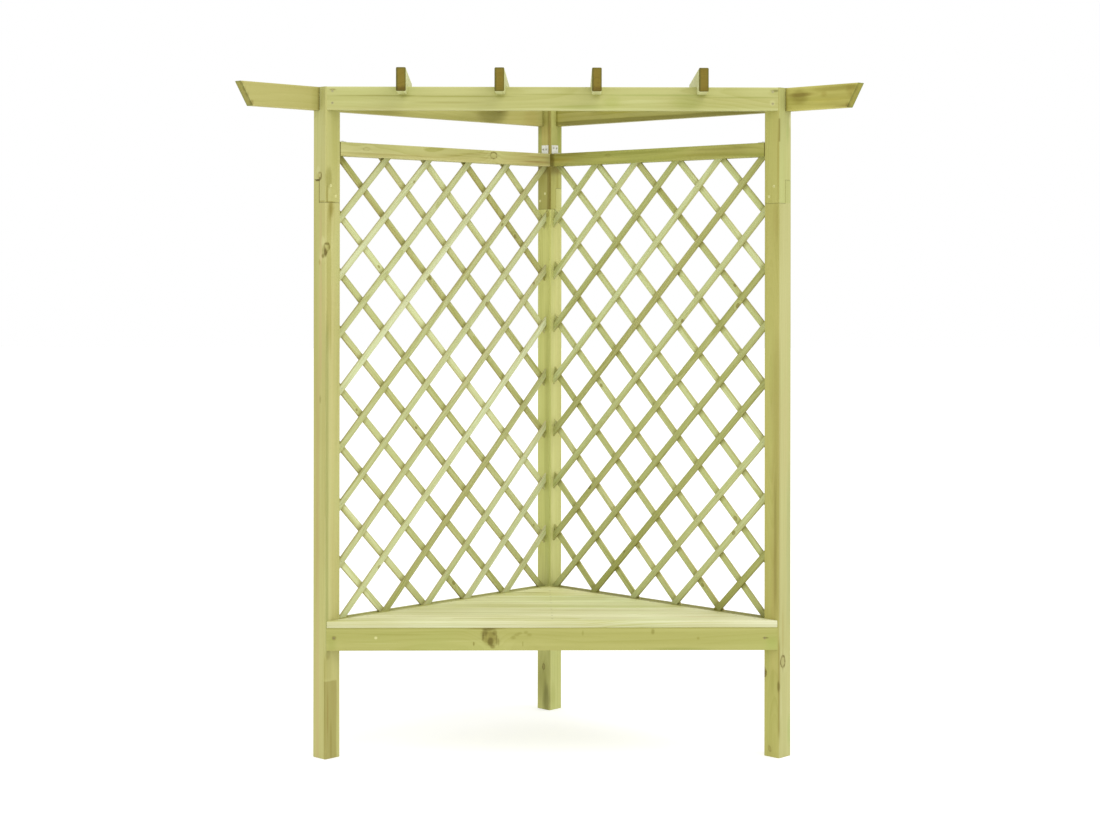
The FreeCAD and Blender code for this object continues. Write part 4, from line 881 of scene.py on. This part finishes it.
# seat
c = (0.0, Y_SHIFT + 0.003 + HT, 0.3425)
HS = 0.0325
give("seat_front_rail", wood_material(
    "seat_front_rail_wood", c, *axes("x"), 91.0, pith=(-0.03, 0.065), ring=0.0050,
    base=srgb(171, 169, 96), streak=0.22, ring_amt=0.06, broad=0.26, blush=0.1, patch=0.5,
    knots=((-0.1790, 0.0035, -HT, ZN, 0.0200, 1.10, 0.35, 0.25, 0.3, 0.5),),
    marks=(((-0.1800, 0.0050, -HT), (0.0180, 0.0210, 0.008), (0.74, 0.70, 0.52), 0.92, 0.4),
           ((-0.1937, 0.0200, -HT), (0.0085, 0.0095, 0.008), (0.62, 0.57, 0.42), 0.90, 0.5),
           ((-0.1820, 0.0285, -HT), (0.0180, 0.0040, 0.008), (0.56, 0.51, 0.36), 0.90, 0.5),
           ((-0.1650, 0.0200, -HT), (0.0065, 0.0075, 0.008), (0.62, 0.57, 0.42), 0.85, 0.5),
           ((-0.1775, -0.0070, -HT), (0.0075, 0.0120, 0.008), (0.54, 0.49, 0.32), 0.95, 0.45),
           ((-0.1715, -0.0205, -HT), (0.0070, 0.0055, 0.008), (0.60, 0.55, 0.40), 0.90, 0.5),
           ((-0.1990, 0.0080, -HT), (0.0030, 0.0100, 0.008), (0.60, 0.55, 0.40), 0.90, 0.5),
           ((-0.1600, -0.0010, -HT), (0.0026, 0.0130, 0.008), (0.66, 0.62, 0.46), 0.85, 0.5),
           ((-0.1545, -0.0080, -HT), (0.0022, 0.0110, 0.008), (0.72, 0.68, 0.54), 0.80, 0.5),
           ((-0.1850, 0.0100, -HT), (0.0018, 0.0110, 0.008), (1.16, 1.17, 1.26), 0.80, 0.5),
           ((-0.1900, 0.0302, -HT), (0.0500, 0.0020, 0.008), (0.66, 0.60, 0.44), 0.80, 0.5),
           ((-0.1120, 0.0050, -HT), (0.0070, 0.0050, 0.008), (0.80, 0.79, 0.64), 0.85, 0.6),
           ((-0.1020, 0.0125, -HT), (0.0070, 0.0040, 0.008), (0.80, 0.79, 0.64), 0.85, 0.6),
           ((-0.0930, 0.0175, -HT), (0.0060, 0.0035, 0.008), (0.82, 0.81, 0.66), 0.80, 0.6),
           ((-0.0760, 0.0200, -HT), (0.0060, 0.0040, 0.008), (0.78, 0.77, 0.62), 0.85, 0.6),
           ((-0.0660, 0.0130, -HT), (0.0070, 0.0040, 0.008), (0.80, 0.79, 0.64), 0.85, 0.6),
           ((-0.0880, 0.0020, -HT), (0.0300, 0.0060, 0.008), (0.93, 0.93, 0.86), 0.80, 0.6),
           ((-0.0850, -0.0130, -HT), (0.0020, 0.0070, 0.008), (0.74, 0.72, 0.58), 0.8, 0.5),
           ((-0.2253, -0.0130, -HT), (0.0026, 0.0060, 0.008), (0.56, 0.52, 0.36), 0.9, 0.5),
           ((0.0870, 0.0172, -HT), (0.0030, 0.0070, 0.008), (0.80, 0.80, 0.64), 0.8, 0.5),
           ((0.2878, 0.0220, -HT), (0.0050, 0.0070, 0.008), (0.70, 0.68, 0.50), 0.9, 0.5),
           ((0.4180, 0.0020, -HT), (0.0040, 0.0040, 0.008), (0.80, 0.78, 0.60), 0.8, 0.5),
           ((-0.6250, 0.0040, -HT), (0.0065, 0.0060, 0.008), (0.60, 0.54, 0.40), 0.8, 0.4),
           ((-0.6320, -0.0120, -HT), (0.0120, 0.0200, 0.008), (0.86, 0.90, 0.76), 0.8, 0.8),
           ((0.6120, 0.0030, -HT), (0.0080, 0.0022, 0.008), (0.50, 0.46, 0.34), 0.8, 0.5),
           ((0.6300, -0.0120, -HT), (0.0180, 0.0200, 0.008), (0.90, 0.97, 0.84), 0.9, 0.8),
           ((-0.5055, 0.0045, -HT), (0.0042, 0.0036, 0.008), (1.50, 1.50, 2.3), 1.0, 0.4),
           ((-0.5000, -0.0120, -HT), (0.060, 0.0016, 0.008), PALE, 0.8, 0.5),
           ((-0.4500, 0.0140, -HT), (0.090, 0.0022, 0.008), (0.84, 0.84, 0.70), 0.8, 0.6),
           ((-0.2600, -0.0050, -HT), (0.050, 0.0022, 0.008), PALE, 0.7, 0.6),
           ((0.3600, -0.0290, -HT), (0.080, 0.0035, 0.008), (0.80, 0.84, 0.72), 0.8, 0.7)),
    edge=(HS, HT), edge_tone=(1.0, 1.0, 1.0),
    # the pale second line is a painted highlight on the rail's rounded top edge
    lines=(("y", 0.0305, 0.0016, (0.80, 0.78, 0.66), 0.8), ("y", 0.0270, 0.0020, (1.08, 1.08, 1.12), 0.7))))
for side in ("left", "right"):
    ex, ey, ez = axes("leg", side)
    c = leg_point(side, 0.0, -HT, 0.3425)
    give("seat_%s_rail" % side, wood_material("seat_%s_rail_wood" % side, c, ex, ey, ez, 95.0 if side == "left" else 96.3,
                                              base=srgb(174, 170, 100), pith=(0.03, 0.05), edge=(HS, HT),
                                              cells=(0.30, 0.5, 0.004, 0.009, 0.022)))
give("seat_centre_bearer", wood_material("seat_centre_bearer_wood", (0.0, 0.0, 0.3425), *axes("y"), 99.0,
                                         base=srgb(174, 170, 100), pith=(0.02, 0.05), edge=(HS, HT)))
y = 0.0035
board_base = (srgb(212, 211, 164), srgb(200, 199, 146), srgb(203, 203, 147), srgb(205, 205, 148), srgb(208, 207, 145), srgb(206, 205, 142))
board_marks = {
    0: (((0.110, -0.006, 0.0100), (0.220, 0.0085, 0.010), (0.86, 0.85, 0.76), 0.9, 0.5),
        ((-0.300, 0.022, 0.0100), (0.200, 0.0070, 0.010), (0.92, 0.91, 0.84), 0.8, 0.6),
        ((0.000, -0.046, 0.0100), (0.600, 0.0090, 0.010), (1.03, 1.03, 1.06), 0.9, 0.5),
        ((-0.120, 0.0540, 0.0100), (0.450, 0.0040, 0.010), (0.82, 0.81, 0.70), 0.9, 0.4),
        ((0.420, 0.010, 0.0100), (0.060, 0.0100, 0.010), (0.96, 0.90, 0.84), 0.8, 0.6)),
    1: (((0.180, 0.010, 0.0100), (0.200, 0.0080, 0.010), (0.78, 0.76, 0.62), 0.85, 0.6),
        ((-0.150, -0.030, 0.0100), (0.220, 0.0070, 0.010), (0.82, 0.80, 0.68), 0.8, 0.6),
        ((-0.050, 0.035, 0.0100), (0.300, 0.0080, 0.010), PALE, 0.7, 0.6)),
    2: (((0.060, 0.020, 0.0100), (0.180, 0.0120, 0.010), PALE, 0.7, 0.6),
        ((0.000, -0.030, 0.0100), (0.220, 0.0080, 0.010), (0.82, 0.82, 0.68), 0.8, 0.6)),
    3: (((-0.020, 0.030, 0.0100), (0.100, 0.0120, 0.010), PALE, 0.8, 0.6),
        ((0.060, -0.020, 0.0100), (0.120, 0.0080, 0.010), (0.84, 0.84, 0.70), 0.8, 0.6)),
    4: (((-0.070, 0.000, 0.0100), (0.060, 0.0130, 0.010), (0.76, 0.76, 0.60), 0.85, 0.6),),
    5: (((-0.010, 0.0, 0.0100), (0.050, 0.0120, 0.010), DARKER, 0.4, 0.6),),
}
for i in range(6):
    w = 0.113
    c = (0.0, Y_SHIFT + y + w / 2, 0.385)
    give("seat_board_%d" % (i + 1), wood_material(
        "seat_board_%d_wood" % (i + 1), c, *axes("board"), 101.0 + 2.3 * i, base=board_base[i],
        pith=(0.01 + 0.015 * ((i * 7) % 5 - 2), -0.040 if i % 2 else 0.055), ring=0.0055,
        streak=0.46, broad=0.50, across=34.0, wide=12.0, blush=0.2, patch=0.5, marks=board_marks[i],
        bands=(((-1.0, -0.080, -0.0100), (1.0, 0.0010 - w / 2, 0.0010), (0.05, 0.0005, 0.0030), (0.90, 0.90, 0.86), 0.9),) if i == 0 else (),
        edge=(w / 2, 0.010), edge_tone=(1.03, 1.03, 1.06), faces=(("-y", (1.00, 1.00, 1.08), 1.0),)))
    y += w + 0.002

# metal
zinc = steel_material("zinc_plate", srgb(232, 232, 222), 0.50, 0.8, metal=0.30)
screw = steel_material("screw_zinc", srgb(178, 174, 122), 0.45, 0.3, rust=0.25, metal=0.35)
dull_screw = steel_material("screw_dull", srgb(150, 142, 84), 0.55, 0.3, rust=0.3, metal=0.20)
lap_screw = steel_material("screw_lap", srgb(216, 214, 148), 0.50, 0.3, rust=0.1, metal=0.10)
pin = steel_material("pin_steel", srgb(150, 146, 130), 0.5, 0.2, rust=0.6)
for n in ("top_rail_brackets", "bottom_rail_brackets", "bearer_brackets", "seat_corner_plate"):
    give(n, zinc)
for n in ("side_beam_screws", "front_beam_screws", "rafter_screws", "seat_board_screws"):
    give(n, screw)
give("bracket_screws", steel_material("screw_bracket", srgb(190, 190, 172), 0.45, 0.3, rust=0.1, metal=0.30))
give("seat_frame_screws", dull_screw)
give("post_lap_screws", lap_screw)
for n in ("left_trellis_pins", "right_trellis_pins"):
    give(n, pin)

# ---------------------------------------------------------------- floor and light
floor_me = bpy.data.meshes.new("floor")
S = 30.0
floor_me.from_pydata([(-S, -S, -0.0005), (S, -S, -0.0005), (S, S, -0.0005), (-S, S, -0.0005)], [], [(0, 1, 2, 3)])
floor = bpy.data.objects.new("floor", floor_me)
bpy.context.scene.collection.objects.link(floor)
fm = bpy.data.materials.new("floor_pale")
fm.use_nodes = True
fb = fm.node_tree.nodes["Principled BSDF"]
fb.inputs["Base Color"].default_value = (0.62, 0.62, 0.62, 1)
fb.inputs["Roughness"].default_value = 0.9
fb.inputs["Specular IOR Level"].default_value = 0.1
fb.inputs["Emission Color"].default_value = (1.0, 1.0, 1.0, 1)
fb.inputs["Emission Strength"].default_value = 0.5
floor_me.materials.append(fm)

world = bpy.data.worlds.new("studio")
bpy.context.scene.world = world
world.use_nodes = True
bg = world.node_tree.nodes["Background"]
bg.inputs["Color"].default_value = (1.0, 1.0, 1.0, 1)
bg.inputs["Strength"].default_value = 1.0


def area(name, loc, target, size, power):
    d = bpy.data.lights.new(name, "AREA")
    d.shape = "DISK"
    d.size = size
    d.energy = power
    o = bpy.data.objects.new(name, d)
    bpy.context.scene.collection.objects.link(o)
    o.location = loc
    v = [t - l for t, l in zip(target, loc)]
    from mathutils import Vector
    o.rotation_mode = "QUATERNION"
    o.rotation_quaternion = Vector(v).to_track_quat("-Z", "Y")
    return o


# a very large soft key from the right, front and above
area("key", (6.7, -4.7, 12.4), (0.0, 0.0, 1.0), 14.0, 851.0)

# ---------------------------------------------------------------- camera
cd = bpy.data.cameras.new("camera")
cam = bpy.data.objects.new("camera", cd)
bpy.context.scene.collection.objects.link(cam)
cd.sensor_width = 36.0
cd.lens = 2063.15 / 1100.0 * 36.0
cam.location = (-0.08424, -5.90743 + Y_SHIFT, 1.40598)
cam.rotation_mode = "XYZ"
cam.rotation_euler = (math.radians(90.0), -0.00096, -0.01502)
cd.shift_x = -(553.877 + 0.5 - 550.0) / 1100.0
cd.shift_y = -(412.0 - (267.907 + 0.15)) / 1100.0
cd.clip_start = 0.05
cd.clip_end = 100.0
bpy.context.scene.camera = cam

vs = bpy.context.scene.view_settings
vs.view_transform = "Standard"
vs.look = "None"
vs.exposure = 0.0
vs.gamma = 1.0
